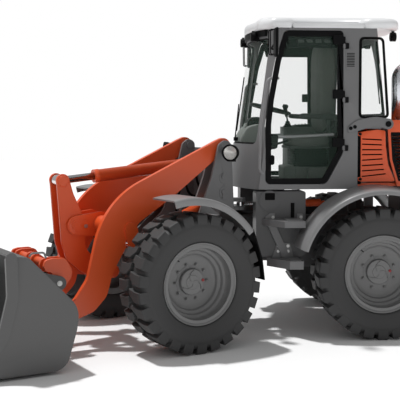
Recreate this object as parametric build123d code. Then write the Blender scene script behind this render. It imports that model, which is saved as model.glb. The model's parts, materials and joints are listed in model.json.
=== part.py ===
"""Articulated wheel loader, modelled in millimetres.

Design frame: +X forward, +Y left, +Z up, origin on the ground under the articulation pivot.
The rear body lies along X. Front-body pieces are modelled straight ahead and then turned
about the pivot by rest_articulation. Every piece is finally moved so that the origin is
the centre of the machine's footprint, on the ground.
"""
from build123d import *
from math import atan2, cos, degrees, hypot, radians, sin
import os

os.makedirs("parts", exist_ok=True)

# ---- driving dimensions -------------------------------------------------------------
rest_articulation = 25.0      # front body turned left of straight ahead, degrees
half_wheelbase = 1102.0       # pivot to each axle
track_half = 855.0            # centre plane of a tyre
tyre_radius = 589.0
tyre_half_width = 201.0
bead_radius = 305.0           # rim's bead seat, where the tyre sits
flange_radius = 350.0
rim_half_width = 173.0
rim_wall = 12.0
disc_wall = 14.0
rim_steps = ((172, 338), (150, 322), (112, 306), (84, 300), (76, 278), (46, 268), (38, 244), (6, 226))   # (y, r) of the dish
lug_count = 26
lug_height = 30.0             # tread lugs stand this far out of the casing
hub_radius = 112.0
hub_face = 34.0
stud_circle = 134.0
stub_radius = 45.0
run_gap = 0.05                # radial clearance of a pin or shaft in its bore
side_gap = 6.0                # clearance beside a moving eye or plate
pin_radius = 30.0

cab_half_width = 690.0
cab_floor = 1330.0
cab_top = 2800.0
cab_wall = 36.0
cab_front_low = 150.0         # windscreen centre line at the cab floor
cab_front_high = -45.0        # and at the cab top
cab_front_radius = 1360.0
cab_rear_low = -1358.0        # rear window centre line, carried down to the floor
cab_rear_high = -1205.0
cab_rear_radius = 2400.0
cab_lower_rear = -1165.0      # upright wall below the rear window
window_sill = 1960.0
glass_thickness = 6.0
glass_depth = 14.0            # outer face of the wall to outer face of the glass
door_gap = 6.0
door_frame = 48.0             # width of the door's frame around its glass
roof_thickness = 108.0
roof_pad = 92.0               # height of the roof's front and rear pads
roof_overhang = 36.0
roof_tail = 155.0             # roof behind the cab's rear
lamp_drop = 55.0                # below the roof's underside
lamp_half = 24.0
lamp_radius = 42.0

hood_half_width = 640.0
hood_top = 1965.0
hood_low = 1350.0
hood_front = -1405.0
hood_rear = -2560.0
hood_skin = 14.0
hood_pin = (-1227.0, 1928.0)
hood_pin_radius = 14.0
exhaust_place = (-1478.0, 150.0)
exhaust_radius = 58.0

frame_outer = 325.0           # outer face of the chassis side plates
frame_plate = 25.0
frame_low = 560.0
frame_high = 1000.0
pivot_radius = 38.0
lug_radius = 105.0
lug_plate = 34.0
steer_barrel_radius = 36.0
lower_lug = 600.0             # underside of the rear body's lower and upper pivot lugs
upper_lug = 1060.0

arm_pin = (490.0, 1720.0)           # lift arm on the tower
lift_base_pin = (500.0, 1270.0)     # lift cylinder on the tower
lift_eye_pin = (1410.0, 880.0)      # lift cylinder on the arm
tilt_base_pin = (660.0, 1548.0)     # tilt cylinder on the tower
crank_pivot = (1836.0, 1040.0)
crank_top_pin = (1948.0, 1431.0)
crank_low_pin = (1470.0, 600.0)
coupler_top_pin = (2110.0, 695.0)
bucket_pin = (2140.0, 300.0)
cross_tube = (1600.0, 1040.0)
cross_tube_radius = 78.0
coupler_tube = (2190.0, 755.0)
coupler_tube_radius = 34.0
bucket_bar = (2135.0, 603.0)        # bars on the bucket that the coupler hooks on to
bucket_bar_radius = 30.0

arm_inner = 335.0
arm_outer = 385.0
eye_slot = 78.0                # half width of the arm's slot for the lift rod
arm_nose = 75.0               # arm's round end at the bucket pin
tower_outer = 425.0
tower_plate = 24.0
ear_inner = 52.0              # gap side of the ears that hold the tilt cylinder and link
ear_outer = 80.0
crank_inner = 67.0            # gap side of each crank cheek, wider than the tilt barrel
crank_outer = 91.0
tilt_eye_half = 46.0          # half width of the tilt barrel's and the link's eyes
rod_eye_half = 61.0           # and of the tilt rod's, between the crank's cheeks
bucket_half_width = 1050.0
bucket_plate = 16.0
lift_barrel_radius = 44.0
lift_rod_radius = 30.0
tilt_barrel_radius = 56.0
tilt_rod_radius = 34.0
eye_radius = 52.0
lift_barrel_length = 800.0    # base pin to the barrel's mouth
tilt_barrel_length = 966.0

steer_base = (-740.0, 312.0)
steer_eye_radius = 390.0
steer_eye_angle = 50.0              # from straight ahead, on the front body
steer_over_fork = 6.0               # barrel above the front body's upper fork plate
steer_rod_radius = 18.0
steer_barrel_length = 640.0
steer_barrel_bottom = 100.0

# wheel, axle and chassis details
hub_inner = 150.0             # hub's length inboard of the tyre's centre plane
hub_cap_wall = 22.0
stud_radius = 12.0
stud_height = 20.0
front_studs = 10
rear_studs = 8
side_slots = 14               # rows of slots in the hood's side and rear grilles
rear_slots = 12
side_slot_pitch = 30.0
rear_slot_pitch = 36.0
rear_slot_shift = 330.0       # between columns of slots
axle_ball_radius = 150.0
axle_tube_radius = 82.0
axle_drum_radius = 140.0
axle_input_reach = 300.0
axle_input_radius = 62.0
axle_pad_half = 110.0
axle_pad_top = 700.0
frame_front = -300.0
rear_lug_half = 190.0
tail_front = -2100.0
tail_rear = -2610.0
tail_half = 600.0
tail_low = 560.0
tow_x = -2660.0
tow_z = 720.0                 # underside of the jaw's gap
tow_gap = 90.0
tow_plate = 25.0
tow_bore = 20.5
tow_half = 55.0
tank_front = -10.0
tank_rear = -470.0
tank_low = 710.0
tank_high = 1310.0
tank_inner = 450.0
tank_outer = 660.0
step_outer = 910.0
step_slant = 170.0
fender_sheet = 14.0
fender_inner = cab_half_width + side_gap
rear_fender_arc = (17.0, 152.0)       # degrees round the axle, from level ahead
front_fender_centre = (78.0, 580.0)   # forward of the axle, and height
front_fender_arc = (76.0, 144.0)

# cab, hood and tower details
cab_shelf = 1885.0            # underside of the shelf behind the seat
cab_shelf_front = -945.0
cab_sill = 1741.0
roof_half = cab_half_width + 25
roof_round = 48.0
hinge_x = -806.0
hinge_y = cab_half_width + 16
hinge_heights = (1760.0, 2200.0, 2690.0)
door_pin_radius = 7.0
cowl_rear = -1395.0
cowl_half = hood_half_width - 45.0
hood_slot_end = -1735.0
steering_wheel_radius = 195.0
tower_rear = 400.0
tower_front = 1222.0
tower_inner = 279.0
tilt_pin_radius = 26.0
lift_line = 345.0             # centre of each lift cylinder across the machine
coupler_tube_half = 425.0
bucket_low = 30.0
bucket_side_plate = 20.0
bucket_ears = ((255.0, 289.0), (432.0, 466.0))     # each side of the coupler's plates
edge_strip = 90.0             # thickened front edge of the bucket's side
edge_strip_out = 12.0
gland_step = 4.0
barrel_bottom = 95.0          # base pin to the end of the bore
lift_rod_start = 125.0
tilt_rod_start = 330.0
steer_pin_radius = 18.0
steer_rod_start = 200.0

steer_height = upper_lug + 2 * lug_plate + side_gap + steer_over_fork + steer_barrel_radius

pieces = {}
front_pieces = set()


# ---- shapes from outlines -----------------------------------------------------------
def closed(points):
    """Face inside (u, v) or (u, v, corner radius) entries."""
    radii = [p[2] if len(p) > 2 else 0 for p in points]
    return make_face(FilletPolyline(*[(p[0], p[1]) for p in points], radius=radii, close=True))


def side(points, y0, y1):
    """Outline in X and Z, thick from y0 to y1."""
    plane = Plane(origin=(0, y0, 0), x_dir=(1, 0, 0), z_dir=(0, -1, 0))
    return extrude(plane * closed(points), amount=y1 - y0, dir=(0, 1, 0))


def flat(points, z0, z1):
    """Outline in X and Y, thick from z0 to z1."""
    return extrude(Plane.XY.offset(z0) * closed(points), amount=z1 - z0, dir=(0, 0, 1))


def front(points, x0, x1):
    """Outline in Y and Z, thick from x0 to x1."""
    plane = Plane(origin=(x0, 0, 0), x_dir=(0, 1, 0), z_dir=(1, 0, 0))
    return extrude(plane * closed(points), amount=x1 - x0, dir=(1, 0, 0))


def block(x0, x1, y0, y1, z0, z1):
    return Pos((x0 + x1) / 2, (y0 + y1) / 2, (z0 + z1) / 2) * Box(x1 - x0, y1 - y0, z1 - z0)


def bar(a, b, radius):
    """Round bar between two points."""
    a = Vector(*a)
    b = Vector(*b)
    return extrude(Plane(origin=a, z_dir=b - a) * Circle(radius), amount=(b - a).length)


def across(place, radius, y0, y1):
    """Round bar along Y at an (x, z) place."""
    return bar((place[0], y0, place[1]), (place[0], y1, place[1]), radius)


def both_sides(shape):
    return shape + mirror(shape, about=Plane.XZ)


def pipe(points, radius, bend):
    path = FilletPolyline(*points, radius=bend)
    return sweep(Plane(origin=path @ 0, z_dir=path % 0) * Circle(radius), path=path)


def turned(profile):
    """Closed (y, r) outline spun about the Y axis."""
    face = Plane(origin=(0, 0, 0), x_dir=(0, 1, 0), z_dir=(1, 0, 0)) * closed(profile)
    return revolve(face, axis=Axis.Y)


def arched(path, thickness, first, last):
    """Bent sheet with (y, r) bends, spun about the Y axis between two angles from +X."""
    plane = Plane(origin=(0, 0, 0), x_dir=(0, 1, 0), z_dir=(1, 0, 0))
    face = plane * closed(bent_sheet(path, thickness))
    return Rot(0, 90 - last, 0) * revolve(face, axis=Axis.Y, revolution_arc=last - first)


def keep(name, shape, on_front=False):
    pieces[name] = shape
    if on_front:
        front_pieces.add(name)


def bent_sheet(path, thickness):
    """Closed outline of a bent sheet. path has (u, v, bend radius) entries and the
    sheet's thickness lies to the left of the way the path runs."""
    ways = []
    for a, b in zip(path, path[1:]):
        run = hypot(b[0] - a[0], b[1] - a[1])
        ways.append(((b[0] - a[0]) / run, (b[1] - a[1]) / run))
    inner = []
    for i, point in enumerate(path):
        before = ways[max(i - 1, 0)]
        after = ways[min(i, len(ways) - 1)]
        share = 1 + before[0] * after[0] + before[1] * after[1]
        u = point[0] - thickness * (before[1] + after[1]) / share
        v = point[1] + thickness * (before[0] + after[0]) / share
        left_turn = before[0] * after[1] - before[1] * after[0] > 0
        bend = point[2] if len(point) > 2 else 0
        if bend:
            bend = max(bend - thickness, 1) if left_turn else bend + thickness
        inner.append((u, v, bend))
    return list(path) + inner[::-1]


def toward(start, end, reach):
    """The (x, z) place at a distance from start on the way to end."""
    run = hypot(end[0] - start[0], end[1] - start[1])
    return (start[0] + (end[0] - start[0]) * reach / run, start[1] + (end[1] - start[1]) * reach / run)


def strap(a, b, radius_a, radius_b, y0, y1):
    """Plate with a round end at each of two (x, z) places."""
    run = hypot(b[0] - a[0], b[1] - a[1])
    way = ((b[0] - a[0]) / run, (b[1] - a[1]) / run)
    outline = []
    for place, reach in ((a, radius_a), (b, radius_b), (b, -radius_b), (a, -radius_a)):
        outline.append((place[0] - way[1] * reach, place[1] + way[0] * reach))
    return across(a, radius_a, y0, y1) + across(b, radius_b, y0, y1) + side(outline, y0, y1)


def pair(inner, outer, make):
    """The same plate at +Y and -Y, made by make(y0, y1)."""
    return both_sides(make(inner, outer))


# ---- wheels and axles ---------------------------------------------------------------
def tyre():
    bead = rim_half_width - rim_wall - 0.3
    half = tyre_half_width
    casing = tyre_radius - lug_height
    outer = [(bead, bead_radius + 0.3), (bead, flange_radius + 5), (half - 16, 385), (half - 4, 430),
             (half, 475), (half - 8, 520), (half - 30, casing - 14), (half - 75, casing)]
    body = turned(outer + [(-p[0],) + p[1:] for p in outer[::-1]])
    pitch = 360 / lug_count
    lug = extrude(Plane.XY.offset(casing - 40) * closed(
        [(-58, 8), (-14, 8), (30, 78), (30, half - 2), (-38, half - 2), (-38, 96)]), amount=lug_height + 40)
    lug &= across((0, 0), tyre_radius, -half, half)
    row = [Rot(0, pitch * i, 0) * lug for i in range(lug_count)]
    far_row = [Rot(0, pitch * (i + 0.5), 0) * mirror(lug, about=Plane.XZ) for i in range(lug_count)]
    return body.fuse(*row, *far_row)


def rim(stud_count):
    edge = rim_half_width
    barrel = bead_radius - rim_wall
    front = [(edge, flange_radius)] + list(rim_steps) + [(0, 0)]
    back = [(-disc_wall, 0), (-disc_wall, barrel), (-edge, barrel), (-edge, flange_radius), (rim_wall - edge, flange_radius),
            (rim_wall - edge, bead_radius), (edge - rim_wall, bead_radius), (edge - rim_wall, flange_radius)]
    wheel = turned(front + back)
    wheel += across((0, 0), hub_radius, -hub_inner, hub_face)
    wheel -= across((0, 0), stub_radius + run_gap, -hub_inner - 1, hub_face - hub_cap_wall)
    for i in range(stud_count):
        turn = radians(360 * (i + 0.5) / stud_count)
        place = (stud_circle * cos(turn), stud_circle * sin(turn))
        wheel += across(place, stud_radius, -1, stud_height)
    return wheel


wheel_tyre = tyre()
for end, x, studs in (("front", half_wheelbase, front_studs), ("rear", -half_wheelbase, rear_studs)):
    wheel_rim = rim(studs)
    for hand in ("left", "right"):
        for name, shape in (("tyre", wheel_tyre), ("rim", wheel_rim)):
            placed = Pos(x, track_half, tyre_radius) * shape
            if hand == "right":
                placed = mirror(placed, about=Plane.XZ)
            keep(f"{name}_{end}_{hand}", placed, on_front=end == "front")


def axle(x, way):
    """Drive axle; way is the side of the input flange, +1 forward or -1 rearward."""
    drum_end = track_half - hub_inner - side_gap
    profile = [(0, 0), (0, axle_ball_radius), (105, axle_ball_radius - 8), (170, axle_ball_radius - 40), (230, axle_tube_radius),
               (drum_end - 150, axle_tube_radius), (drum_end - 120, axle_drum_radius),
               (drum_end, axle_drum_radius), (drum_end, stub_radius),
               (track_half - 10, stub_radius), (track_half - 10, 0)]
    place = Pos(x, 0, tyre_radius)
    beam = both_sides(place * turned(profile))
    beam += bar((x, 0, tyre_radius), (x + way * axle_input_reach, 0, tyre_radius), axle_input_radius)
    pad = block(x - axle_pad_half, x + axle_pad_half, frame_outer - frame_plate - 30, frame_outer,
                tyre_radius, axle_pad_top)
    return beam + both_sides(pad)


keep("front_axle", axle(half_wheelbase, -1), on_front=True)
keep("rear_axle", axle(-half_wheelbase, 1))


# ---- rear chassis -------------------------------------------------------------------
def lug(base_x, base_half, z0):
    """Plate from a base line at x = base_x tapering to a round end at the pivot."""
    sign = 1 if base_x > 0 else -1
    outline = [(base_x, -base_half), (base_x, base_half), (sign * 20, lug_radius - 2), (sign * 20, 2 - lug_radius)]
    return flat(outline, z0, z0 + lug_plate) + bar((0, 0, z0), (0, 0, z0 + lug_plate), lug_radius)


rail_inner = frame_outer - frame_plate
rails = pair(rail_inner, frame_outer, lambda y0, y1: side(
    [(frame_front, frame_low, 40), (frame_front, frame_high, 30), (tail_front + 2, frame_high),
     (tail_front + 2, frame_low), (-half_wheelbase - 220, frame_low, 60),
     (-half_wheelbase - 150, axle_pad_top), (-half_wheelbase + 150, axle_pad_top),
     (-half_wheelbase + 220, frame_low, 60)], y0, y1))
rear_frame = rails
rear_frame += block(frame_front, frame_front + frame_plate, -rail_inner - 5, rail_inner + 5, frame_low, upper_lug + lug_plate)
for x in (-800.0, -1500.0, -1900.0):
    rear_frame += block(x, x + frame_plate, -rail_inner - 5, rail_inner + 5, axle_pad_top + 20, frame_high - 150)
for z in (lower_lug, upper_lug):
    rear_frame += lug(frame_front + 5, rear_lug_half, z)
    rear_frame += bar((0, 0, z - lug_plate - 2 * side_gap), (0, 0, z + 2 * lug_plate + 2 * side_gap), pivot_radius)
rear_frame += both_sides(block(frame_front - 45, frame_front + 25, 90, 150, frame_high, cab_floor))
rear_frame += both_sides(block(-1190, -1110, rail_inner - 10, frame_outer + 25, frame_high, cab_floor))
steer_low = steer_height - lug_plate / 2
rear_frame += bar((*steer_base, frame_high - 20), (*steer_base, steer_low - side_gap), 45)
rear_frame += bar((*steer_base, frame_high), (*steer_base, steer_low + lug_plate + 3 * side_gap), steer_pin_radius)
keep("rear_frame", rear_frame)

counterweight = flat([(tail_front, -tail_half, 20), (tail_front, tail_half, 20), (tail_rear + 60, tail_half, 120),
                      (tail_rear, tail_half - 200, 150), (tail_rear, 200 - tail_half, 150),
                      (tail_rear + 60, -tail_half, 120)], tail_low, hood_low - 12)
for z in (tow_z - tow_plate, tow_z + tow_gap):
    counterweight += block(tow_x, tail_rear + 20, -tow_half, tow_half, z, z + tow_plate)
    counterweight += bar((tow_x, 0, z), (tow_x, 0, z + tow_plate), tow_half)
    counterweight -= bar((tow_x, 0, z - 1), (tow_x, 0, z + tow_plate + 1), tow_bore)
keep("counterweight", counterweight)
keep("engine_block", block(tail_front + 4, -1530, -rail_inner, rail_inner, 850, 1640))

tank = side([(tank_rear, tank_low, 40), (tank_rear, tank_high, 20), (tank_front, tank_high, 20),
             (tank_front, tank_low, 60)], tank_inner, tank_outer)
tank += block(tank_rear + 60, tank_rear + 140, frame_outer, tank_inner + 1, 760, 840)
tank += across((-131, 1226), 95, tank_outer - 1, tank_outer + 8)
keep("fuel_tanks", both_sides(tank))


def step(front_x, rear_x, z0, z1):
    """Tread box whose front end is slanted so that the steered flap clears it."""
    return flat([(front_x, tank_outer), (front_x - step_slant, step_outer), (rear_x, step_outer),
                 (rear_x, tank_outer)], z0, z1)


steps = step(-62, -420, 1000, 1058) + step(-110, -405, 625, 700)
bracket_side = tank_outer + 10
steps += side([(-157, 690), (-200, 836, 25), (-325, 836, 25), (-361, 690)], tank_outer, bracket_side)
steps += side([(-112, 1005), (-186, 1005), (-330, 690), (-256, 690)], bracket_side - 1, bracket_side + 24)
steps += side([(-96, 1002), (-96, 1078, 15), (-135, 1110, 15), (-181, 1110), (-181, 1002)], tank_outer, bracket_side)
steps += side([(-390, 1002), (-390, 1105), (-445, 1105, 15), (-445, 1058), (-420, 1002)], tank_outer, bracket_side)
keep("steps", both_sides(steps))

# sheet bends as (y, distance from the axle, bend radius)
rear_fender_bends = [(fender_inner, 782), (900, 782, 200), (1040, 750, 24), (1040, 712)]
fender = Pos(-half_wheelbase, 0, tyre_radius) * arched(rear_fender_bends, -fender_sheet, *rear_fender_arc)
fender += block(-506, -476, frame_outer, fender_inner + 1, 950, 990)
fender += block(-506, -430, fender_inner, fender_inner + 40, 950, 990)
fender += block(-1676, -1640, frame_outer, fender_inner + 40, 1090, 1130)
fender += block(-1676, -1640, frame_outer, frame_outer + 30, 900, 1130)
keep("rear_fenders", both_sides(fender))


# ---- cab ----------------------------------------------------------------------------
def cab_solid(inset, low, high):
    """Cab body, drawn in by inset on its sides, front and rear."""
    half = cab_half_width - inset
    solid = block(-1700, 500, -half, half, low, high)
    for x_low, x_high, radius, way in ((cab_front_low, cab_front_high, cab_front_radius, -1),
                                       (cab_rear_low, cab_rear_high, cab_rear_radius, 1)):
        lean = (x_high - x_low) / (cab_top - cab_floor)
        reach = radius - inset
        ends = []
        for z in (cab_floor - 600, cab_top + 600):
            ends.append((x_low + lean * (z - cab_floor) + way * radius, 0, z))
        solid &= bar(*ends, reach)
    solid -= block(-1700, cab_lower_rear + inset, -800, 800, low - 10, window_sill + 20 + inset)
    return solid - block(-1700, cab_shelf_front + inset, -800, 800, low - 10, cab_shelf + inset)


door_outline = [(-95, 1382, 40), (-93, 1919, 200), (-117, 2146, 500), (-182, 2508, 500), (-262, 2772, 50),
                (-798, 2772, 30), (-808, 1672, 150), (-651, 1382, 60)]
quarter_outline = [(-975, 2000, 30), (-975, 2700, 30), (-1165, 2700, 30), (-1215, 2000, 30)]
pane_half = cab_half_width - 120
windscreen_outline = [(-pane_half, cab_sill, 60), (-pane_half, 2720, 60), (pane_half, 2720, 60), (pane_half, cab_sill, 60)]
rear_window_outline = [(-pane_half, 2010, 60), (-pane_half, 2700, 60), (pane_half, 2700, 60), (pane_half, 2010, 60)]


def grown(points, amount):
    """Outline moved outwards by amount, or inwards if negative."""
    return offset(closed(points), amount=amount, kind=Kind.INTERSECTION)


def side_face(face, y0, y1):
    plane = Plane(origin=(0, y0, 0), x_dir=(1, 0, 0), z_dir=(0, -1, 0))
    return extrude(plane * face, amount=y1 - y0, dir=(0, 1, 0))


cab = cab_solid(0, cab_floor, cab_top) - cab_solid(cab_wall, cab_floor + cab_wall, cab_top + 20)
cab -= both_sides(side_face(grown(door_outline, door_gap), cab_half_width - 90, cab_half_width + 70))
cab -= both_sides(side(quarter_outline, cab_half_width - 130, cab_half_width + 70))
cab -= front(windscreen_outline, -320, 400)
cab -= front(rear_window_outline, -1600, -1180)
for z in hinge_heights:
    for y in (1, -1):
        pin_y = y * hinge_y
        cab += bar((hinge_x, pin_y, z - 70), (hinge_x, pin_y, z - 32), 11)
        cab += bar((hinge_x, pin_y, z - 70), (hinge_x, pin_y, z + 30), door_pin_radius)
        cab += block(hinge_x - 44, hinge_x - 8, min(y * (cab_half_width - 10), pin_y), max(y * (cab_half_width - 10), pin_y), z - 70, z - 32)
keep("cab_frame", cab)

glass = cab_solid(glass_depth, cab_floor, cab_top) - cab_solid(glass_depth + glass_thickness, cab_floor - 20, cab_top + 20)
panes = glass & front(windscreen_outline, -320, 400)
panes += glass & front(rear_window_outline, -1600, -1180)
panes += glass & both_sides(side(quarter_outline, cab_half_width - 50, cab_half_width + 70))
keep("cab_glass", panes)

roof_front = cab_front_high + roof_overhang + 20
roof_rear = cab_rear_high - roof_overhang - roof_tail
roof = flat([(roof_front - 60, -560, 120), (roof_front - 60, 560, 120), (roof_rear + 90, 600, 120),
             (roof_rear + 90, -600, 120)], cab_top, cab_top + roof_thickness)
roof = fillet(roof.faces().sort_by(Axis.Z)[-1].edges(), roof_round)
front_pad = flat([(roof_front, 0), (roof_front - 80, 560, 300), (roof_front - 150, roof_half, 90), (roof_front - 370, roof_half, 120),
                  (roof_front - 420, 0), (roof_front - 370, -roof_half, 120), (roof_front - 150, -roof_half, 90),
                  (roof_front - 80, -560, 300)], cab_top, cab_top + roof_pad)
rear_pad = flat([(roof_rear, 0, 2000), (roof_rear + 60, roof_half, 170), (roof_rear + 420, roof_half, 120), (roof_rear + 480, 0),
                 (roof_rear + 420, -roof_half, 120), (roof_rear + 60, -roof_half, 170)], cab_top, cab_top + roof_pad)
for pad in (front_pad, rear_pad):
    roof += fillet(pad.faces().sort_by(Axis.Z)[-1].edges(), roof_round)
roof += block(roof_rear + 400, roof_front - 350, -roof_half + 18, roof_half - 18, cab_top, cab_top + 45)
keep("cab_roof", roof)


roof_lamps = Part()
for x, y in ((roof_front - 34, 350), (roof_front - 34, -350), (roof_rear + 60, 450), (roof_rear + 60, -450)):
    z = cab_top - lamp_drop
    roof_lamps += bar((x - lamp_half, y, z), (x + lamp_half, y, z), lamp_radius)
    roof_lamps += block(x - 12, x + 12, y - 12, y + 12, z, cab_top)
keep("cab_lamps", roof_lamps)

mirror_head = block(-176, -142, cab_half_width + 85, cab_half_width + 225, 2525, 2785)
mirror_head += pipe([(-200, cab_half_width - 50, 2600), (-140, cab_half_width - 30, 2610), (-150, cab_half_width + 70, 2640),
                     (-160, cab_half_width + 110, 2640)], 10, 20)
mirror_head -= cab_solid(0, cab_floor, cab_top)
keep("mirrors", both_sides(mirror_head))


def door(hand):
    thickness = cab_wall
    frame_ring = side_face(closed(door_outline), cab_half_width - thickness, cab_half_width)
    frame_ring -= side_face(grown(door_outline, -door_frame), cab_half_width - 100, cab_half_width + 50)
    for z in hinge_heights:
        knuckle = bar((hinge_x, hinge_y, z - 30), (hinge_x, hinge_y, z + 30), 13)
        knuckle += block(hinge_x + 4, hinge_x + 50, cab_half_width - 2, hinge_y, z - 30, z + 30)
        frame_ring += knuckle
    for z in hinge_heights:
        frame_ring -= bar((hinge_x, hinge_y, z - 31), (hinge_x, hinge_y, z + 31), door_pin_radius + run_gap)
    pane = side_face(grown(door_outline, -door_frame), cab_half_width - glass_depth - glass_thickness,
                     cab_half_width - glass_depth)
    if hand == "right":
        return mirror(frame_ring, about=Plane.XZ), mirror(pane, about=Plane.XZ)
    return frame_ring, pane


for hand in ("left", "right"):
    door_ring, door_pane = door(hand)
    keep(f"{hand}_door", door_ring)
    keep(f"{hand}_door_glass", door_pane)

vent = side([(-980, 1397), (-980, 1856, 12), (-1136, 1876, 60), (-1209, 1866, 12), (-1213, 1735, 300), (-1236, 1560, 200),
             (-1305, 1397, 12)], 655, 672)
for z in (1835, 1420):
    vent += strap((-985, z), (-966, z), 18, 18, 655, 672)
# slots as (height at the front, height at the rear, rear end)
for z_front, z_rear, x_rear in ((1790, 1781, -1175), (1742, 1735, -1175), (1691, 1690, -1176), (1645, 1647, -1177),
                                (1594, 1606, -1181), (1544, 1555, -1187), (1496, 1509, -1197), (1445, 1467, -1212)):
    vent -= strap((-996, z_front), (x_rear, z_rear), 6, 6, 650, 680)
vent += block(-1215, -960, 560, 657, 1410, 1430)
bulkhead = block(cowl_rear, cowl_rear + 20, -cowl_half, cowl_half, hood_low, hood_top - 18)
bulkhead += block(cowl_rear, -1215, -cowl_half, cowl_half, hood_top - 34, hood_top - 18)
bulkhead += block(cowl_rear, -975, -cowl_half, cowl_half, hood_low, hood_low + 30)
keep("side_panels", both_sides(vent) + bulkhead)

arm = side([(-848, 1846, 12), (-853, 1903, 15), (-930, 1963, 150), (-1100, 1998, 300), (hood_pin[0], hood_pin[1] + 50),
            (hood_pin[0], hood_pin[1] - 50), (-1100, 1912, 200), (-960, 1868, 150)], cab_half_width, cab_half_width + 14)
arm += across(hood_pin, 50, cab_half_width, cab_half_width + 14)
arm += across(hood_pin, hood_pin_radius, hood_half_width - 40, cab_half_width + 14)
keep("hood_arms", both_sides(arm))

# interior
floor_top = cab_floor + cab_wall
seat_base = block(-800, -470, -170, 170, floor_top, 1520) + block(-740, -500, -140, 140, 1520, 1690)
keep("seat_base", seat_base)
cushion = block(-800, -400, -240, 240, 1690, 1830)
backrest = side([(-700, 1836), (-660, 1836), (-700, 2720, 20), (-800, 2720, 60), (-860, 2500, 100), (-800, 1836)], -230, 230)
keep("seat_cushions", cushion + backrest)
column = side([(0, floor_top), (60, 1760, 60), (0, 1940, 40), (-120, 1960, 40), (-160, 1860, 40), (-110, floor_top)], -90, 90)
column += bar((-110, 0, 1900), (-225, 0, 2052), 28)
keep("steering_column", column)
wheel_tilt = Pos(-245, 0, 2075) * Rot(0, -14, 0)
wheel_rim = wheel_tilt * (Torus(steering_wheel_radius, 15) + Box(2 * steering_wheel_radius, 30, 14)
                          + Cylinder(40, 26))
keep("steering_wheel", wheel_rim)
console = block(-850, -470, -560, -260, floor_top, 1800) + block(-800, -440, -540, -300, 1800, 1900)
keep("operator_console", console)
exhaust = pipe([(*exhaust_place, 1645), (*exhaust_place, 2440), (exhaust_place[0] - 160, exhaust_place[1], 2500)],
               exhaust_radius, 110)
keep("exhaust_pipe", exhaust)

# ---- hood ---------------------------------------------------------------------------
def hood_solid(inset, x_front):
    half = hood_half_width - inset
    top = hood_top - inset
    low = hood_low - (1 if inset else 0)
    return front([(-half, low), (-half, top, max(90 - inset, 1)), (half, top, max(90 - inset, 1)), (half, low)],
                 hood_rear + inset, x_front)


hood = hood_solid(0, hood_front) - hood_solid(hood_skin, hood_front + 10)
cheek = side([(hood_front - 30, hood_low), (-1335, hood_low), (-1262, 1600), (-1240, 1880), (-1275, hood_top),
              (hood_front - 30, hood_top)], hood_half_width - hood_skin, hood_half_width)
cheek += across(hood_pin, 32, hood_half_width - hood_skin, hood_half_width)
hood += both_sides(cheek)
hood -= across(hood_pin, hood_pin_radius + run_gap, -hood_half_width - 5, hood_half_width + 5)
slot_half = exhaust_radius + 14
hood -= block(hood_slot_end, hood_front + 10, exhaust_place[1] - slot_half, exhaust_place[1] + slot_half, 1800, 2100)
side_window = [(-1345, 1396, 20), (-1285, 1600, 100), (-1268, 1852, 10), (-2150, 1852, 60), (-2150, 1396, 60)]
hood -= both_sides(side(side_window, hood_half_width - 60, hood_half_width + 10))

grille_inner = hood_half_width - hood_skin - 10
side_grille = side_face(grown(side_window, 12), grille_inner, grille_inner + 10)
for i in range(side_slots):
    z = 1424 + side_slot_pitch * i
    front_end = -1372 + (z - 1396) * 0.2
    for x0, x1 in ((front_end, -1640), (-1660, -1890), (-1910, -2120)):
        side_grille -= strap((x0, z), (x1, z), 8, 8, grille_inner - 5, grille_inner + 15)
rear_outline = [(-520, 1410, 40), (-520, 1880, 60), (520, 1880, 60), (520, 1410, 40)]
rear_grille = front(rear_outline, hood_rear + hood_skin, hood_rear + hood_skin + 12)
for i in range(rear_slots):
    z = 1450 + rear_slot_pitch * i
    for y in (-rear_slot_shift, 0, rear_slot_shift):
        rear_grille -= block(hood_rear, hood_rear + 60, y - 140, y + 140, z, z + 18)
hood -= front(rear_outline, hood_rear - 5, hood_rear + hood_skin + 1)
keep("hood", hood)
keep("hood_grille", both_sides(side_grille) + rear_grille)

# ---- front chassis and tower --------------------------------------------------------
tower_outline = [(tower_rear, 700), (tower_rear, 1180), (arm_pin[0] - 62, 1740, 40), (arm_pin[0] - 10, 1796, 60),
                 (arm_pin[0] + 72, 1740, 50), (640, 1440, 120), (780, 1090, 160), (1120, 800, 40), (tower_front, 700)]
tower = pair(tower_outer - tower_plate, tower_outer, lambda y0, y1: side(tower_outline, y0, y1))
tower += pair(tower_inner - tower_plate, tower_inner, lambda y0, y1: side(tower_outline, y0, y1))
tower += block(tower_rear, tower_front, -tower_outer, tower_outer, axle_pad_top, 770)
tower -= across((half_wheelbase, tyre_radius), axle_ball_radius + 10, -250, 250)
tower += block(tower_rear, tower_rear + tower_plate, -tower_outer, tower_outer, 700, 1180)
tower += block(tower_rear + 15, tower_rear + 39, -tower_inner, tower_inner, 1150, 1700)
for place in (arm_pin, lift_base_pin):
    tower += pair(tower_inner - tower_plate - 12, tower_outer + 10, lambda y0, y1: across(place, pin_radius, y0, y1))
tower += pair(ear_inner, ear_outer, lambda y0, y1: strap((tower_rear + 30, 1590), tilt_base_pin, 70, 58, y0, y1))
tower += across(tilt_base_pin, tilt_pin_radius, -ear_outer - 8, ear_outer + 8)
for z in (lower_lug, upper_lug):
    for shift in (-1, 1):
        tower += lug(tower_rear + 2, 250, z + shift * (lug_plate + side_gap))
    for shift in (-1, 1):
        tower -= bar((0, 0, z + shift * (lug_plate + side_gap) - 1),
                     (0, 0, z + shift * (lug_plate + side_gap) + lug_plate + 1), pivot_radius + run_gap)
tower += block(tower_rear, tower_rear + 24, -250, 250, lower_lug - 60, 720)
steer_eye = (steer_eye_radius * cos(radians(steer_eye_angle)), steer_eye_radius * sin(radians(steer_eye_angle)))
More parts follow.
